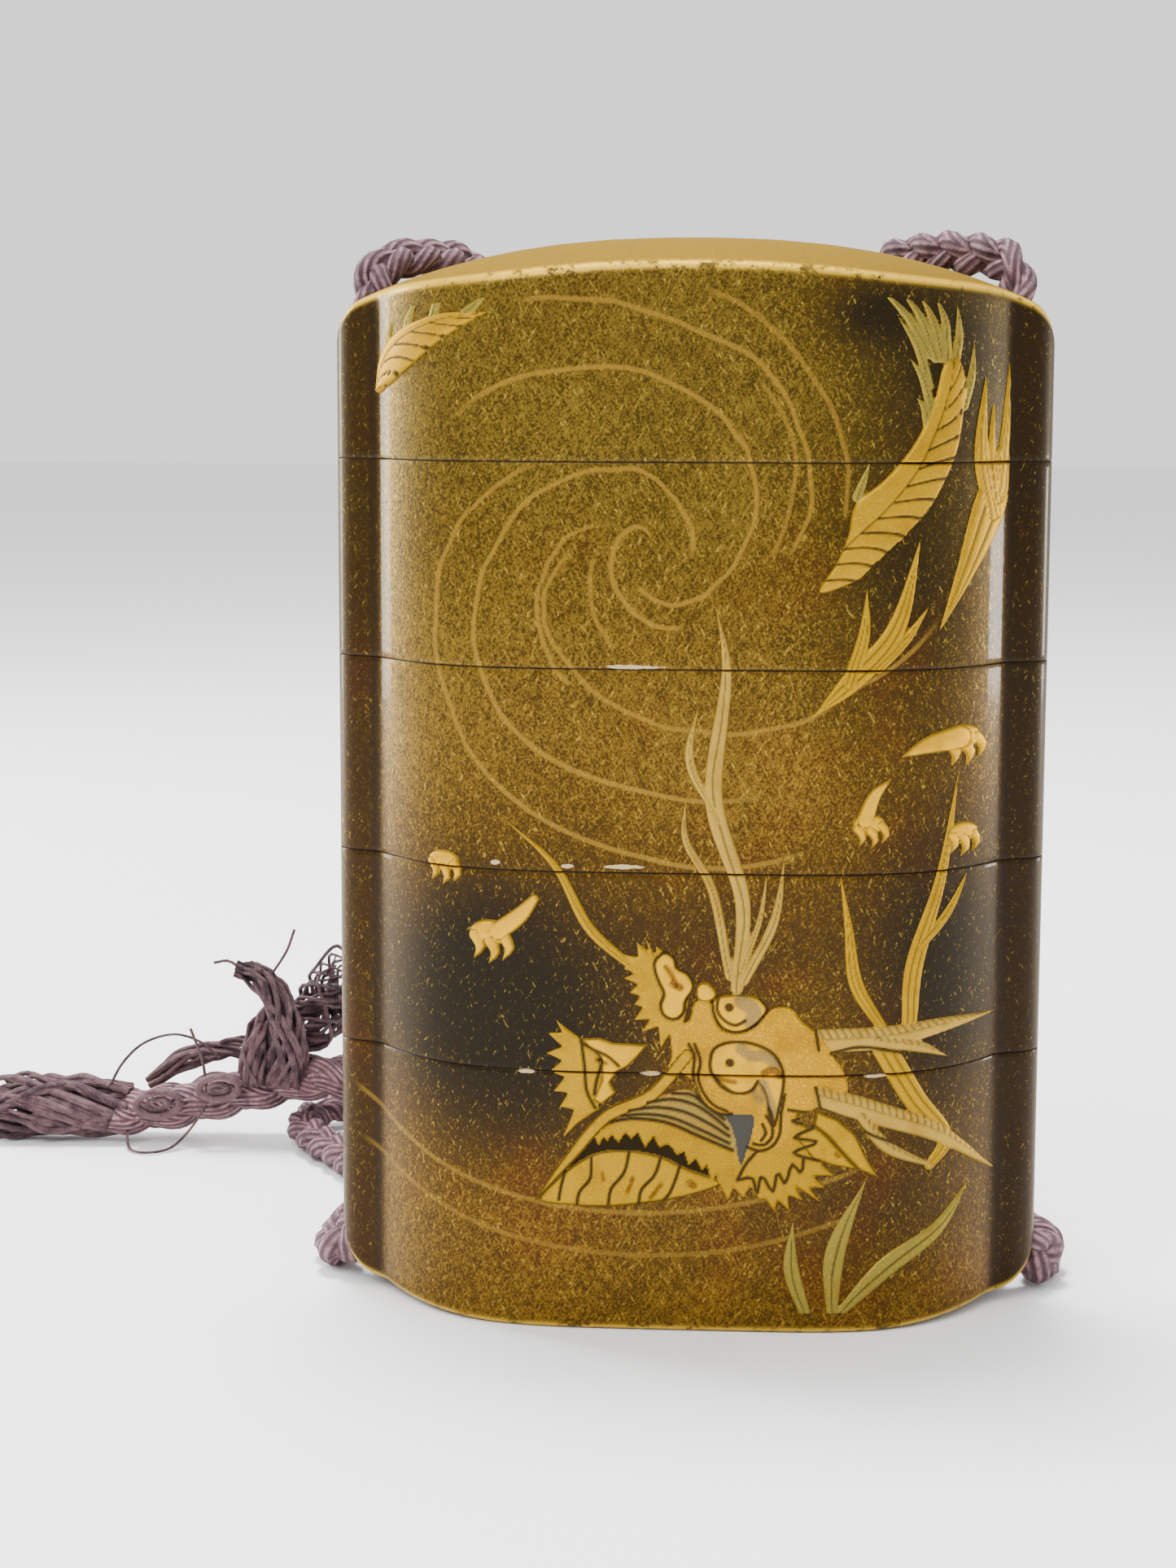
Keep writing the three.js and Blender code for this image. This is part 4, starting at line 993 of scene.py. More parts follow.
flames = [
    Stroke([[16.2, 25.9], [14.1, 29.5], [13.4, 34.2], [12.6, 39]], [0.9, 1.2, 0.7, 0]),
    Stroke([[18.5, 26.1], [18.8, 30.6], [20.9, 37.8], [22.3, 46.7]], [1.3, 1.5, 0.9, 0]),
    Stroke([[19.3, 32.4], [21.6, 35], [23.3, 38.3]], [0.8, 0.7, 0]),
    Stroke([[16.5, 24], [19, 19.7], [21.7, 15.7], [20.4, 13.8]], [2, 1.9, 1.3, 0.8]),
    Stroke([[20.4, 58.1], [22.6, 63.1], [24.5, 68.1], [25.6, 72.2]], [0, 1.6, 2.8, 1.6]),
    Stroke([[24.7, 67.6], [23.7, 72.2], [24, 79.1]], [1.3, 1.2, 0]),
    Stroke([[25.1, 68.8], [24.6, 72.2], [24.7, 77]], [1.1, 0.8, 0]),
    Stroke([[25.5, 69.5], [26.1, 76.2], [26.4, 84.5]], [1.3, 0.9, 0]),
    Stroke([[10.2, 51.3], [13.3, 54.2], [16.7, 58.1], [18.8, 65.8]], [0, 1.7, 1.6, 0]),
    Stroke([[13.2, 54.2], [14.3, 58], [14.5, 61.8]], [1.2, 1, 0]),
    Stroke([[15.5, 55.3], [17.7, 57.6], [19.6, 60.3]], [0.9, 0.8, 0]),
]
coil_right_fins = [
    *strokes([0.8, 0.7, 0], [[19.2, 80.3], [17.3, 83.3], [14.9, 85.6]], [[19.7, 80], [18.4, 83.2], [16.6, 85.5]],
             [[20.2, 80], [19.4, 83], [18.2, 85.1]], [[20.6, 80], [20.4, 82.9], [19.6, 84.9]],
             [[19.2, 77.8], [18.2, 80.9], [16.6, 83.2]], [[19.4, 75.9], [18.7, 78.4], [17.6, 80]],
             [[19.2, 74.2], [18.9, 76], [18.2, 76.9]], [[21.3, 79.7], [21.6, 81.9], [21.4, 84.4]],
             [[22.1, 76.2], [22.7, 78.6], [22.9, 81.4]]),
    Stroke([[13.6, 69], [14.1, 70.4], [14.6, 71.9]], [0.9, 0.6, 0]),
]
coil_left = Stroke([[-25.9, 77.4], [-24.0, 80.2], [-20.6, 82.3], [-16, 83.6]], [0.6, 2.8, 2.2, 0])
coil_left_fins = strokes([0.9, 0.7, 0], [[-24.7, 80.2], [-24.9, 81.5], [-24.5, 83.2]],
                         [[-23.1, 82.1], [-22.9, 83.2], [-22.2, 84.7]], [[-20.7, 83.1], [-20.4, 84.2], [-19.6, 85.6]],
                         [[-17.9, 83.5], [-17.1, 84.1], [-16, 85.1]])
reeds = [
    Stroke([[10.4, 1.5], [9.1, 5.6], [9.2, 9.7]], [0.9, 1.3, 0]),
    Stroke([[12.5, 1.5], [12.7, 6.9], [15.2, 13.2]], [0.9, 1.7, 0]),
    Stroke([[12.8, 1.5], [17, 5.6], [21.3, 8.4], [23.9, 11.9]], [0.7, 1.7, 1.2, 0]),
]
paws = [
    *paw([-19.9, 38.6], 1.4, 0),
    *paw([-15.9, 32.8], 1.8, 0),
    Stroke([[-15.2, 33.4], [-13.4, 34.8], [-12.2, 36.2]], [1.6, 1.4, 0.8]),
    *paw([22.6, 49], 1.7, 12),
    Stroke([[22.2, 49.4], [19.6, 48.9], [17.4, 48]], [2, 1.4, 0]),
    *paw([15, 42.3], 1.4, 8),
    Stroke([[14.6, 43], [15.4, 45], [16.8, 46.4]], [1.4, 1, 0]),
    *paw([22.7, 41.2], 1.4, 0),
]

# %% The figures of the back
back_body = [[22, 82], [17.5, 72], [8, 62], [-4, 54.5], [-13, 44]]
back_tail = [[-7, 41], [-16.6, 33], [-19.6, 22], [-12, 12.6], [2, 9.4]]
back_coils = [Stroke(back_body, [0, 5, 6.4, 5, 0]), Stroke(back_tail, [0, 3.8, 4.6, 3.2, 0])]
back_fins = (fins(back_body, 0.14, 0.84, 8, 2.2, 3, 1.2, -1) + fins(back_tail, 0.2, 0.8, 7, 1.8, 2.4, 1, -1))
back_flames = [
    Stroke([[0, 9.6], [6, 8], [13, 10.4]], [1.2, 1.8, 0]),
    Stroke([[0, 9.6], [5, 10.6], [10.6, 14.6]], [1, 1.5, 0]),
    Stroke([[0, 9.6], [6, 6], [12, 5.4]], [1, 1.5, 0]),
    Stroke([[10, 42], [16, 50], [19, 63]], [0, 2.2, 0]),
    Stroke([[13, 45.5], [20, 49], [23.6, 56]], [1.2, 1.5, 0]),
    Stroke([[-23, 58], [-20, 67], [-14, 76]], [0, 2, 0]),
    Stroke([[-22, 62], [-22.6, 70], [-19.6, 78]], [1, 1.4, 0]),
    Stroke([[4, 18], [13, 24], [21, 36]], [0, 2.4, 0]),
]
back_paws = [*paw([7.4, 52.6], 2, 20), *paw([-6.6, 26.4], 1.8, -10)]

# %% [markdown]
# ## Engraving
# On the gilded figures the engraver cuts thin dark lines: rows of scutes across the body, one or two lines
# along each flame, ticks along the horns. Each kind of line is a rule over the way along and across a stroke.
# The head has its own lines, drawn one by one, and its raised parts get a dark line of painted shade just
# inside their edges.

# %% Kinds of engraved line, and a line of painted shade, each from 0 for none to 1 for a full line
def line_at(value, place, half_width):
    return np.clip(1.6 - np.abs(value - place) / half_width, 0, 1)


def scutes(deep, along, across):
    bend = along + 1.3 * (across + 1) ** 1.5
    rows = np.mod(bend, 1.75)
    return line_at(rows, 0.875, 0.13) * (across < 0.42) + 0.7 * line_at(across, 0.45, 0.04)


def middle_line(deep, along, across):
    return 0.75 * line_at(across, 0.1 * np.sin(along * 0.8), 0.10) * (deep > 0.16)


def two_lines(deep, along, across):
    return 0.7 * np.maximum(line_at(across, -0.3, 0.08), line_at(across, 0.4, 0.08)) * (deep > 0.18)


def ticks(deep, along, across):
    short = line_at(np.mod(along + across * 0.5, 0.62), 0.31, 0.08) * (across > 0.25)
    return np.maximum(0.7 * short, 0.45 * line_at(across, 0.2, 0.06))


# painted shade: a dark line just inside the edge of a raised part, which is also sunk as a shallow groove
def rim(deep, along, across):
    return 0.85 * line_at(deep, 0.04, 0.11)


def toes(deep, along, across):
    return 0.7 * line_at(deep, 0.06, 0.07)


def plain(deep, along, across):
    return np.zeros(len(deep))


# %% [markdown]
# ## Outlines for the head
# A brush stroke can't give a jagged beard or a row of teeth. These parts have outlines of their own, in
# millimetres on the face of the case, laid over the broad strokes of the solids. Each shape then gets a layer:
# its colour, the height it starts from, its own height, how much it domes, and its engraving. Later layers lie
# over earlier ones, as the maker builds the head up from the beard to the eyes.

# %% Colours of the figures, and the layer
WARM, PALE, GREEN = (0.33, 0.185, 0.004), (0.56, 0.30, 0.005), (0.19, 0.150, 0.025)
DULL, HORN, SLATE = (0.21, 0.140, 0.030), (0.34, 0.215, 0.035), (0.040, 0.040, 0.036)
RED, GREY, MURK = (0.075, 0.022, 0.006), (0.17, 0.12, 0.05), (0.010, 0.006, 0.003)


def layer(shapes, colour, foot, lift, dome, lines, grain=0.0):
    """Shapes with their colour, the height that they start from, their own height, and their engraving. A grain
    of 1 is beaded gold, and a grain of -1 is plain lacquer with no gold on it."""
    return [dict(shape=s, colour=colour, foot=foot, lift=lift, dome=dome, lines=lines, grain=grain) for s in shapes]


# %% Outlines of the coil and the head
COIL = [(21.4, 80.1), (22.1, 78.7), (22.0, 75.8), (21.5, 72.6), (20.2, 69.5), (18.3, 66.3), (15.8, 63.8), (13.3, 62.2),
        (10.6, 61.4), (12.0, 63.8), (12.9, 66.0), (13.4, 68.4), (15.7, 70.4), (17.9, 73.0), (19.3, 75.7), (19.9, 77.7),
        (20.4, 79.5)]
COIL_MIDDLE = [(10.6, 61.4), (13.5, 64.7), (16.5, 67.6), (18.9, 70.7), (20.5, 74.2), (21.1, 77.4), (21.2, 80.1)]
# the outlines of the head, laid over the broad strokes of the solids, with its teeth, spikes and folds
BEARD = [(2.4, 14.9), (3.0, 13.0), (3.8, 11.3), (4.2, 12.5), (5.1, 11.5), (5.7, 12.5), (6.4, 11.4), (6.9, 11.5),
         (7.7, 10.4), (7.9, 11.4), (8.9, 10.5), (8.8, 11.8), (10.0, 11.4), (9.4, 12.6), (11.5, 11.2), (10.5, 12.5),
         (11.8, 12.5), (10.8, 13.5), (12.6, 13.5), (11.5, 14.5), (11.1, 16.4), (9.0, 19.1), (6.8, 19.0), (4.6, 15.6)]
GUM = [(-7.3, 16.7), (-6.5, 17.2), (-5.2, 18.0), (-3.6, 18.2), (-1.2, 17.9), (1.5, 16.8), (4.2, 15.6), (4.6, 13.1),
       (3.9, 11.4), (3.5, 12.9), (3.2, 12.5), (2.9, 13.5), (2.5, 12.8), (2.1, 14.3), (1.7, 13.8), (1.2, 14.8),
       (0.6, 14.2), (0.2, 15.4), (-0.3, 15.1), (-1.1, 16.0), (-1.8, 15.7), (-2.3, 16.6), (-3.0, 15.7), (-3.6, 16.9),
       (-4.1, 16.4), (-4.6, 16.9), (-5.2, 16.0), (-5.7, 16.7), (-6.1, 16.2), (-6.4, 16.5), (-6.8, 15.8)]
LIP = [(-5.7, 18.0), (-3.9, 19.1), (-1.7, 20.1), (0.8, 20.6), (2.1, 19.2), (3.5, 18.7), (4.4, 18.5), (4.6, 15.4),
       (1.5, 16.7), (-1.2, 17.8), (-3.6, 18.1)]
BROW = [(-0.9, 25.7), (0.5, 26.4), (1.0, 28.0), (2.3, 28.0), (3.1, 25.8), (4.3, 25.5), (5.6, 25.8), (6.7, 27.0),
        (7.6, 27.6), (8.9, 27.5), (9.7, 26.5), (10.7, 25.7), (11.6, 24.8), (12.3, 23.6), (13.2, 22.3), (13.5, 20.5),
        (11.0, 20.9), (10.9, 19.1), (9.2, 18.6), (9.0, 17.7), (8.2, 16.1), (6.4, 15.6), (4.6, 18.6), (3.3, 18.6),
        (1.9, 19.4), (1.0, 21.2), (0.1, 21.8), (-1.2, 22.1), (-0.9, 23.4)]
FRINGE = [(-2.2, 32.5), (-2.3, 31.8), (-3.1, 33.2), (-2.8, 32.1), (-3.8, 32.8), (-3.7, 31.6), (-5.0, 31.8),
          (-4.1, 31.0), (-4.9, 30.6), (-4.0, 30.2), (-4.9, 29.8), (-3.7, 29.3), (-4.4, 28.6), (-3.5, 28.3),
          (-4.0, 27.6), (-3.3, 27.4), (-4.0, 26.3), (-2.7, 26.4), (-3.4, 25.3), (-2.0, 25.8), (-1.8, 23.9),
          (-0.9, 25.4), (0.1, 26.2), (0.5, 28.0), (-0.8, 31.6)]
NOSE = [(-1.5, 32.1), (-2.3, 31.3), (-2.2, 30.3), (-1.9, 29.5), (-1.5, 28.6), (-1.8, 27.7), (-1.5, 26.8),
        (-0.6, 26.5), (0.1, 27.1), (0.2, 28.0), (0.9, 29.2), (0.4, 30.3), (-0.5, 30.8), (-0.7, 31.6)]
LUMP = [(1.2, 29.4), (2.0, 29.6), (2.8, 28.6), (2.1, 28.0), (1.2, 28.2)]
TUFT = [(-8.3, 24.7), (-8.9, 25.1), (-10.4, 26.2), (-9.9, 25.2), (-11.1, 25.1), (-9.9, 24.0), (-11.2, 23.4),
        (-9.9, 22.8), (-10.9, 21.9), (-9.7, 21.4), (-10.6, 20.2), (-9.4, 20.1), (-10.1, 18.9), (-8.9, 18.7),
        (-9.8, 16.3), (-8.5, 17.6), (-6.8, 18.8), (-6.9, 20.1), (-6.6, 22.0), (-7.0, 23.6)]
NOSE_HORN = [(-8.3, 24.7), (-6.8, 24.8), (-5.6, 24.4), (-2.8, 24.3), (-3.7, 23.2), (-4.5, 22.4), (-5.3, 22.0),
             (-5.9, 21.1), (-5.4, 20.2), (-6.6, 19.2), (-7.3, 19.6), (-6.6, 21.3), (-6.6, 22.9)]
TONGUE = [(-11.7, 11.0), (-10.4, 12.7), (-8.8, 14.1), (-7.0, 15.1), (-5.2, 15.4), (-3.4, 15.3), (-1.6, 14.9),
          (0.6, 13.9), (3.3, 12.8), (1.1, 11.8), (-1.4, 11.2), (-3.4, 10.9), (-5.8, 10.6), (-8.8, 10.6)]
EAR = [(11.0, 19.0), (12.7, 18.3), (14.2, 17.0), (15.1, 15.1), (16.3, 13.1), (14.6, 13.9), (13.3, 15.3),
       (11.9, 16.9), (10.8, 17.8)]
EAR_UNDER = [(10.8, 17.8), (11.9, 16.9), (13.3, 15.3), (14.6, 13.9), (12.2, 14.4), (10.7, 15.0), (9.3, 16.8)]
EYE_UPPER = [(2.4, 28.0), (2.6, 26.9), (3.2, 25.9), (4.3, 25.5), (5.6, 25.9), (6.6, 26.9), (6.9, 27.5), (6.3, 28.3),
             (5.4, 28.6), (4.0, 28.6), (2.9, 28.4)]
EYE_LOWER = [(3.1, 21.3), (2.4, 22.1), (2.3, 23.1), (2.6, 24.1), (3.6, 24.6), (5.0, 24.7), (6.3, 24.4), (7.4, 23.8),
             (8.1, 22.7), (8.3, 21.6), (7.9, 19.1), (7.5, 17.7), (7.1, 19.1), (6.8, 20.4), (6.2, 21.3), (5.7, 20.6),
             (4.6, 20.3)]
MOUTH = [(-8.4, 16.0), (-6.0, 17.4), (-1.0, 17.0), (2.6, 14.8), (3.6, 12.6), (1.0, 13.2), (-2.0, 14.6), (-6.0, 15.0),
         (-9.6, 13.2)]
FANG = [(3.5, 18.6), (4.7, 18.7), (5.9, 18.6), (5.8, 17.2), (5.4, 15.8), (4.9, 14.3), (4.6, 15.1), (4.4, 16.5),
        (4.0, 17.7)]

# %% The layers, each over the ones before it
FRONT = (
    layer(reeds, GREEN, 0, 0.16, 0.08, middle_line)
    + layer(whiskers[:1], WARM, 0, 0.2, 0.1, middle_line)
    + layer(whiskers[1:], HORN, 0, 0.2, 0.1, middle_line)
    + layer(flames, WARM, 0, 0.22, 0.1, two_lines)
    + layer(coil_right_fins, GREEN, 0, 0.14, 0.08, middle_line)
    + layer([Outline(COIL, True, Stroke(COIL_MIDDLE, [3.6] * 5 + [2, 1]))], WARM, 0.04, 0.26, 0.18, scutes)
    + layer([coil_left], WARM, 0.04, 0.26, 0.16, scutes)
    + layer(coil_left_fins, GREEN, 0, 0.14, 0.08, middle_line)
    + layer(paws, PALE, 0, 0.26, 0.14, toes)
    + layer(horns, HORN, 0.02, 0.24, 0.12, ticks)
    + layer([Outline(MOUTH)], MURK, 0.0, 0.03, 0.0, plain, -1.0)
    + layer([Outline(BEARD)], WARM, 0.02, 0.22, 0.08, plain, 0.4)
    + layer([Outline(TONGUE, True)], WARM, 0.02, 0.22, 0.14, rim)
    + layer([Outline(TUFT), Outline(FRINGE)], WARM, 0.02, 0.2, 0.08, plain)
    + layer([Outline(LIP, True)], DULL, 0.0, 0.2, 0.1, plain)
    + layer([Outline(GUM)], WARM, 0.08, 0.18, 0.06, plain, 0.5)
    + layer([Outline(EAR_UNDER), Outline(EAR)], WARM, 0.06, 0.2, 0.1, rim)
    + layer([Outline(NOSE_HORN)], PALE, 0.08, 0.18, 0.08, rim)
    + layer([Outline(BROW, True)], PALE, 0.08, 0.22, 0.1, plain, 1.0)
    + layer([Outline(NOSE, True), Outline(LUMP, True)], PALE, 0.26, 0.2, 0.14, rim)
    + layer([Outline(EYE_LOWER, True), Outline(EYE_UPPER, True)], PALE, 0.26, 0.14, 0.1, rim)
    + layer([lip_edge], WARM, 0.14, 0.22, 0.1, rim)
    + layer([Outline(FANG, True)], SLATE, 0.2, 0.18, 0.06, plain, -1.0)
)
BACK = (
    layer(back_flames, WARM, 0, 0.22, 0.1, two_lines)
    + layer(back_fins, GREEN, 0, 0.14, 0.08, middle_line)
    + layer(back_coils, WARM, 0.02, 0.26, 0.16, scutes)
    + layer(back_paws, PALE, 0, 0.26, 0.14, toes)
)

print("layers:", len(FRONT), "on the front,", len(BACK), "on the back")

# %% Lines and shades of the head
HEAD_LINES = [
    [(0.5, 24.5), (1.0, 23.5), (0.9, 22.1), (1.1, 20.8), (1.9, 19.4), (3.3, 18.6), (4.1, 18.7)],
    [(1.0, 24.5), (1.5, 23.0), (1.3, 21.8), (1.7, 20.5), (2.6, 19.4), (3.7, 18.9)],
    [(-5.9, 17.8), (-3.9, 18.1), (-1.2, 17.8), (1.5, 16.7), (4.2, 15.6)],
    [(-5.0, 18.3), (-2.8, 18.5), (-0.7, 18.2), (1.5, 17.3), (3.9, 16.2)],
    [(-4.3, 18.8), (-2.1, 19.1), (0.1, 18.8), (2.1, 17.9), (3.9, 16.8)],
    [(-2.8, 19.5), (-0.8, 19.8), (1.0, 19.4), (2.6, 18.4), (3.8, 17.4)],
    [(-0.8, 20.3), (0.8, 20.2), (2.1, 19.2), (3.5, 18.2)],
    [(2.4, 22.1), (3.2, 21.0), (4.6, 20.4), (5.7, 20.7), (6.2, 21.5)],
    [(2.9, 28.3), (2.8, 27.4), (3.3, 26.6), (4.3, 26.1), (5.1, 26.5)],
    [(7.1, 19.3), (7.4, 18.6), (7.6, 17.8)],
    [(8.4, 20.4), (8.1, 18.6), (8.0, 17.0), (7.4, 16.0), (6.4, 15.6), (5.4, 15.9)],
    [(6.9, 18.6), (7.4, 17.7), (7.4, 16.8), (6.7, 16.1), (5.9, 16.2)],
    [(6.6, 17.9), (6.9, 17.1), (6.5, 16.5)],
    [(6.2, 15.6), (5.3, 14.5), (4.6, 13.1)],
    [(-7.4, 14.7), (-7.5, 13.0), (-8.4, 11.8), (-8.6, 10.7)],
    [(-4.3, 15.3), (-4.7, 13.6), (-5.8, 12.1), (-6.0, 10.8)],
    [(-1.7, 14.9), (-2.2, 13.4), (-3.3, 12.1), (-3.5, 10.9)],
    [(-0.1, 14.3), (-0.5, 13.0), (-1.0, 11.8), (-1.5, 11.2)],
    [(-9.6, 13.5), (-9.9, 12.3), (-10.1, 11.1)],
    [(8.7, 19.1), (10.6, 18.7), (9.0, 18.1), (10.9, 17.7), (9.2, 16.8), (11.1, 16.4), (9.2, 15.5), (11.3, 14.8)],
    [(4.6, 13.1), (5.8, 13.3), (6.2, 12.0), (6.6, 13.5), (7.5, 12.2), (7.9, 13.8), (8.5, 12.9), (9.1, 14.5),
     (9.8, 13.8), (10.0, 15.0)],
    [(-8.3, 24.7), (-8.0, 22.4), (-7.8, 20.3), (-7.1, 18.9)],
    [(-8.3, 24.4), (-7.0, 23.6), (-6.6, 22.9), (-7.0, 21.3), (-7.2, 20.1)],
    [(-7.2, 23.8), (-6.1, 23.3), (-5.2, 22.5)],
    [(12.1, 23.8), (14.3, 24.3), (16.9, 23.9), (19.7, 23.2)],
    [(11.5, 19.1), (13.5, 18.2), (15.3, 17.0), (18.0, 15.9)],
    [(10.8, 26.0), (11.1, 24.1)],
    [(10.9, 21.0), (11.3, 19.2)],
    EYE_UPPER[:8], EYE_LOWER[:13], NOSE + NOSE[:1],
]
PUPILS = [(3.8, 27.6), (3.9, 23.0)]
# strokes of another colour: the points, the width and the colour
HEAD_SHADES = [
    ([(4.8, 28.1), (5.8, 27.4), (5.6, 26.4)], 1.3, GREY),
    ([(4.8, 24.2), (5.6, 23.6), (6.8, 23.6), (7.6, 22.9)], 1.0, GREY),
    ([(6.6, 21.3), (7.0, 20.2), (7.4, 19.1)], 0.9, GREY), ([(5.9, 20.6), (6.3, 19.9)], 0.8, GREY),
    ([(6.7, 22.2), (7.4, 22.5), (8.0, 22.0)], 0.7, RED), ([(2.9, 21.7), (3.6, 21.5), (4.3, 21.4)], 0.5, RED),
    ([(-1.4, 30.9), (-0.9, 30.2), (-0.5, 29.3)], 0.5, RED), ([(-0.8, 29.5), (-0.2, 29.2)], 0.7, RED),
    ([(-6.5, 13.5), (-6.4, 12.9)], 0.35, RED), ([(-4.0, 13.1), (-4.4, 12.0)], 0.45, RED),
    ([(-1.7, 12.6), (-2.5, 11.5)], 0.45, RED), ([(0.7, 12.8), (1.0, 12.6)], 0.7, RED),
    ([(-7.0, 23.0), (-6.2, 22.7)], 0.4, RED), ([(12.6, 15.4), (12.8, 15.2)], 0.4, RED),
]

# %% [markdown]
# ## From figures to a mesh
# A fine grid is laid over each case. Where it falls inside a figure it is lifted, and grid points just outside
# are pulled onto the outline and sunk a little into the ground, so that the edge is clean and closed. The
# figures are cut at the seams, as the maker cuts them with a fine blade, so that each case carries its own part
# and the cases can still be pulled apart.

# %% Heights, colours and the mesh of one panel
EDGE_WIDTH, DOME_REACH, LINE_WIDTH, LINE_DEPTH, PUPIL = 0.30, 0.9, 0.3, 0.07, 0.42
GRID, SUNK, GAP, PANEL_HALF, PANEL_MARGIN, MOST_PULL = 0.115, -0.03, 0.05, 26, 1.8, 0.95


def near_box(shape, x, z, margin=0.0):
    """Which places lie in the box round a shape."""
    low, high = shape.low - margin, shape.high + margin
    return np.where((x > low[0]) & (x < high[0]) & (z > low[1]) & (z < high[1]))[0]


def worked(figures, x, z, drawn):
    """The depth inside any figure, and the height, colour, line and grain at each place."""
    n = len(x)
    deep, height = np.full(n, -9.0), np.full(n, SUNK)
    colour, ink, grain = np.tile(WARM, (n, 1)), np.zeros(n), np.zeros(n)
    for f in figures:
        shape = f["shape"]
        near = near_box(shape, x, z, 0.5)
        if not len(near):
            continue
        d, along, across = shape.measure(x[near], z[near])
        deep[near] = np.maximum(deep[near], d)
        t = np.clip(d / EDGE_WIDTH, 0, 1)
        dome = f["dome"] * (1 - np.exp(-np.maximum(d, 0) / DOME_REACH))
        own = f["foot"] + f["lift"] * np.sqrt(1 - (1 - t) ** 2) + dome
        over = (d > 0) & (own > height[near] - 0.12)
        at = near[over]
        cut_line = f["lines"](d, along, across)[over]
        height[at] = np.maximum(own[over], height[at] * 0.5)
        colour[at], ink[at], grain[at] = f["colour"], cut_line, f["grain"]
    for points in drawn:
        shape = Stroke(points, [LINE_WIDTH] * len(points))
        near = near_box(shape, x, z)
        if len(near):
            d = shape.measure(x[near], z[near])[0]
            ink[near] = np.maximum(ink[near], np.clip(0.5 + d / 0.12, 0, 1))
    for points, wide, tint in HEAD_SHADES if drawn else ():
        d = Stroke(points, [wide] * len(points)).measure(x, z)[0]
        share = np.clip(0.3 + d / 0.25, 0, 0.85)[:, None]
        colour = colour * (1 - share) + np.array(tint) * share
    if drawn:
        for px, pz in PUPILS:
            ink = np.maximum(ink, np.clip((PUPIL - np.hypot(x - px, z - pz)) / 0.08, 0, 1))
    return deep, height - LINE_DEPTH * ink * (height > 0.1), colour, ink, grain


def relief_patch(name, figures, low, high, facing, drawn=()):
    """The figures on one face of one case. facing is -1 for the front and 1 for the back."""
    xs = np.arange(-PANEL_HALF - 0.1, PANEL_HALF + 0.1 + GRID, GRID)
    zs = np.arange(low - GRID, high + 2 * GRID, GRID)
    gx, gz = (g.ravel() for g in np.meshgrid(xs, zs))
    deep, height, colour, ink, grain = worked(figures, gx, gz, drawn)
    bounds = np.min([gz - low - GAP, high - GAP - gz, PANEL_HALF - np.abs(gx), gz - foot_height(gx) - PANEL_MARGIN,
                     top_height(gx, face_reach(gx)) - PANEL_MARGIN - gz], axis=0)
    field = np.minimum(deep, bounds).reshape(len(zs), len(xs))
    inside = field > 0
    cells = inside[:-1, :-1] | inside[1:, :-1] | inside[:-1, 1:] | inside[1:, 1:]
    if not cells.any():
        return None
    slope_z, slope_x = np.gradient(field, GRID)
    steep = np.maximum(slope_x ** 2 + slope_z ** 2, 0.2)
    most = GRID * MOST_PULL
    x, z = (grid + np.where(inside, 0, np.clip(-field * slope / steep, -most, most)).ravel()
            for grid, slope in ((gx, slope_x), (gz, slope_z)))
    height = np.where(inside.ravel(), np.maximum(height, 0.02), SUNK)
    slope = -45 * np.sign(x) * (np.abs(x) / VALLEY) ** 3.5 / VALLEY
    size = np.hypot(slope, 1)
    places = np.column_stack([x - slope / size * height, facing * (face_reach(x) + height / size), z])
    r, c = np.nonzero(cells)
    a = r * len(xs) + c
    quads = np.column_stack([a, a + 1, a + 1 + len(xs), a + len(xs)])
    if facing > 0:
        quads = quads[:, ::-1]
    used, faces = np.unique(quads, return_inverse=True)
    piece = piece_from(name, places[used], faces.reshape(-1, 4), [RAISED], sharp_degrees=180)
    for key, value in (("tone", colour), ("ink", ink), ("grain", grain)):
        point_value(piece, key, value[used])
    return piece


# %% [markdown]
# ## The gold of the figures
# Gold leaf and gold dust over raised lacquer is a metal skin of a warm yellow. It is rubbed a little in
# patches, stays darker in the engraved lines, and its brows are sprinkled with coarse grains.

# %% Finish: raised gold
def raised_finish():
    raised = Finish("raised_gold", specular_ior_level=0.1, specular_tint=(0.95, 0.70, 0.30, 1))
    spot = raised.place()[0]
    tone, ink, grain = raised.attribute("tone", 0), raised.attribute("ink"), raised.attribute("grain")
    clouds, fine = raised.noise(spot, 2.5, 3.0), raised.noise(spot, 0.16, 2.0, 0.6)
    bead = raised.step(raised.node("TexVoronoi", {"feature": "F1"}, {"Vector": spot, "Scale": 3.4}), 0.55, 0.15)
    gilt, coarse = raised.step(grain, -0.9, -0.1), grain.math("MAXIMUM", grain, 0.0)
    colour = raised.mix(raised.step(clouds, 0.45, 0.75) * 0.45 * gilt, tone, (0.20, 0.085, 0.004))
    colour = raised.mix(raised.step(fine, 0.5, 0.75) * 0.35 * gilt, colour, (0.66, 0.40, 0.05))
    colour = raised.mix((1 - bead) * coarse * 0.5, colour, (0.19, 0.085, 0.006))
    colour = raised.mix(ink * 0.95, colour, (0.016, 0.011, 0.007))
    raised.feed(base_color=colour, metallic=(0.55 - ink * 0.4) * gilt, roughness=0.38 + fine * 0.12 + ink * 0.2)
    raised.feed(normal=raised.bump(fine * 0.35 + clouds * 0.6 + bead * coarse * 1.2, 0.06, 0.8))
    return raised.material


RAISED = raised_finish()

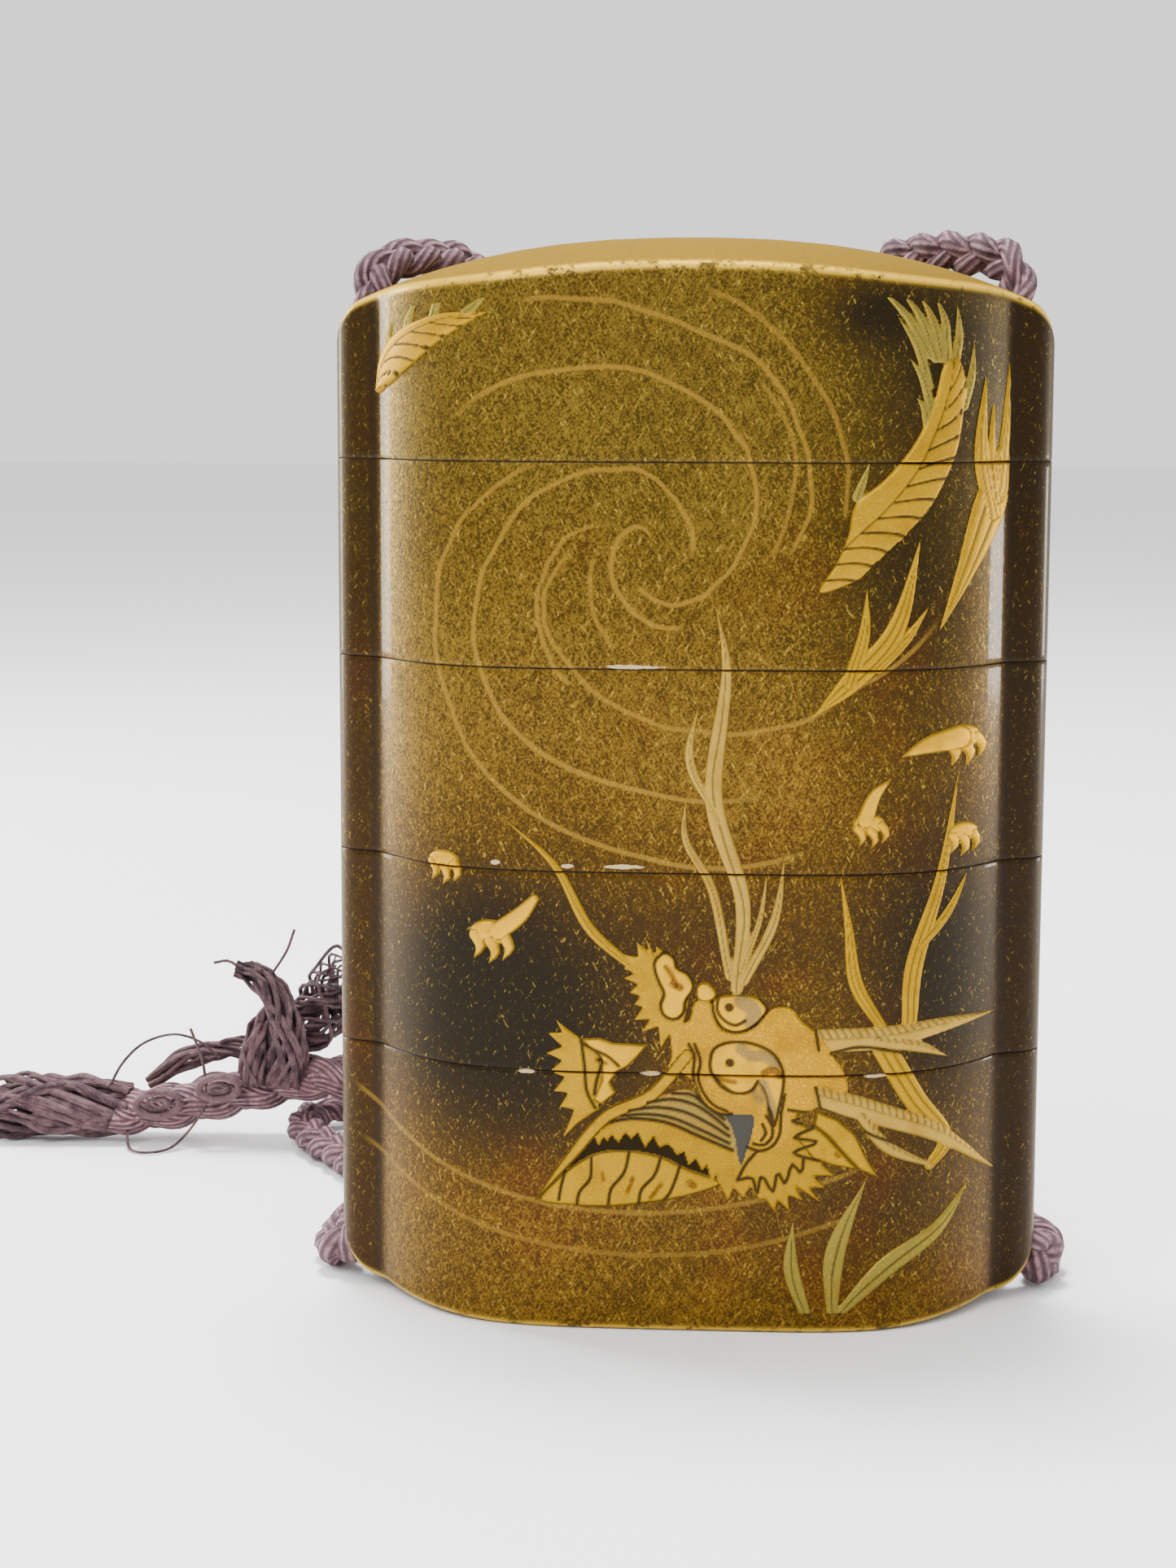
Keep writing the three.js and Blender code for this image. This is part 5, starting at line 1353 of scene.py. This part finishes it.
# %% Lay the figures on each case
reliefs = []
spans = {"lid": (SEAMS[3], CASE_HEIGHT), **{f"case_{4 - i}": (SEAMS[i - 1], SEAMS[i]) for i in (3, 2, 1)},
         "case_4": (0.0, SEAMS[0])}
for case, (low, high) in spans.items():
    for side, figures, facing, drawn in (("front", FRONT, -1, HEAD_LINES), ("back", BACK, 1, ())):
        piece = relief_patch(f"{case}_{side}_gold", figures, low, high, facing, drawn)
        if piece:
            reliefs.append(piece)
            print(piece.name, len(piece.data.polygons), "faces")


# %% [markdown]
# ## The table and the light
# The case stands on a plain pale table in a bright room. A tall narrow light stands on the left and a smaller
# one low on the right. Their reflections make the upright bands on the shoulders, where the face turns to the
# runner. A light above and behind throws the shadow forward, and a weak one in front opens the figures.

# %% Table, world and lamps
TABLE_HALF = 3.0


def stage_plane():
    mesh = bpy.data.meshes.new("table")
    mesh.from_pydata([(x * TABLE_HALF, y * TABLE_HALF, 0) for x, y in ((-1, -1), (1, -1), (1, 1), (-1, 1))],
                     [], [(0, 1, 2, 3)])
    table = bpy.data.objects.new("table", mesh)
    bpy.context.scene.collection.objects.link(table)
    pale = Finish("pale_table", roughness=0.6, specular_ior_level=0.2)
    spot = pale.place()[0]
    pale.feed(base_color=pale.mix(pale.noise(spot, 120, 2.0), (0.86, 0.86, 0.86), (0.90, 0.90, 0.90)))
    mesh.materials.append(pale.material)


def soft_lamp(name, place, target, size, power):
    lamp = bpy.data.objects.new(name, bpy.data.lights.new(name, "AREA"))
    bpy.context.scene.collection.objects.link(lamp)
    lamp.data.shape, lamp.data.energy = "RECTANGLE", power
    lamp.data.size, lamp.data.size_y = size
    lamp.location, lamp.visible_camera = place, False
    lamp.rotation_euler = (Vector(target) - Vector(place)).to_track_quat("-Z", "Y").to_euler()


stage_plane()
world = bpy.data.worlds.new("room")
world.use_nodes = True
world.node_tree.nodes["Background"].inputs["Color"].default_value = (1, 1, 1, 1)
world.node_tree.nodes["Background"].inputs["Strength"].default_value = 1.35
bpy.context.scene.world = world
soft_lamp("left_lamp", (-0.46, 0.26, 0.10), (0, 0, 0.045), (0.10, 0.50), 6.0)
soft_lamp("right_lamp", (0.50, 0.24, -0.02), (0, 0, 0.02), (0.12, 0.16), 3.4)
soft_lamp("top_lamp", (-0.06, 0.16, 0.75), (0, 0, 0.03), (0.22, 0.22), 13.0)
soft_lamp("front_lamp", (-0.25, -0.45, 0.55), (0, 0, 0.05), (0.5, 0.4), 4.5)
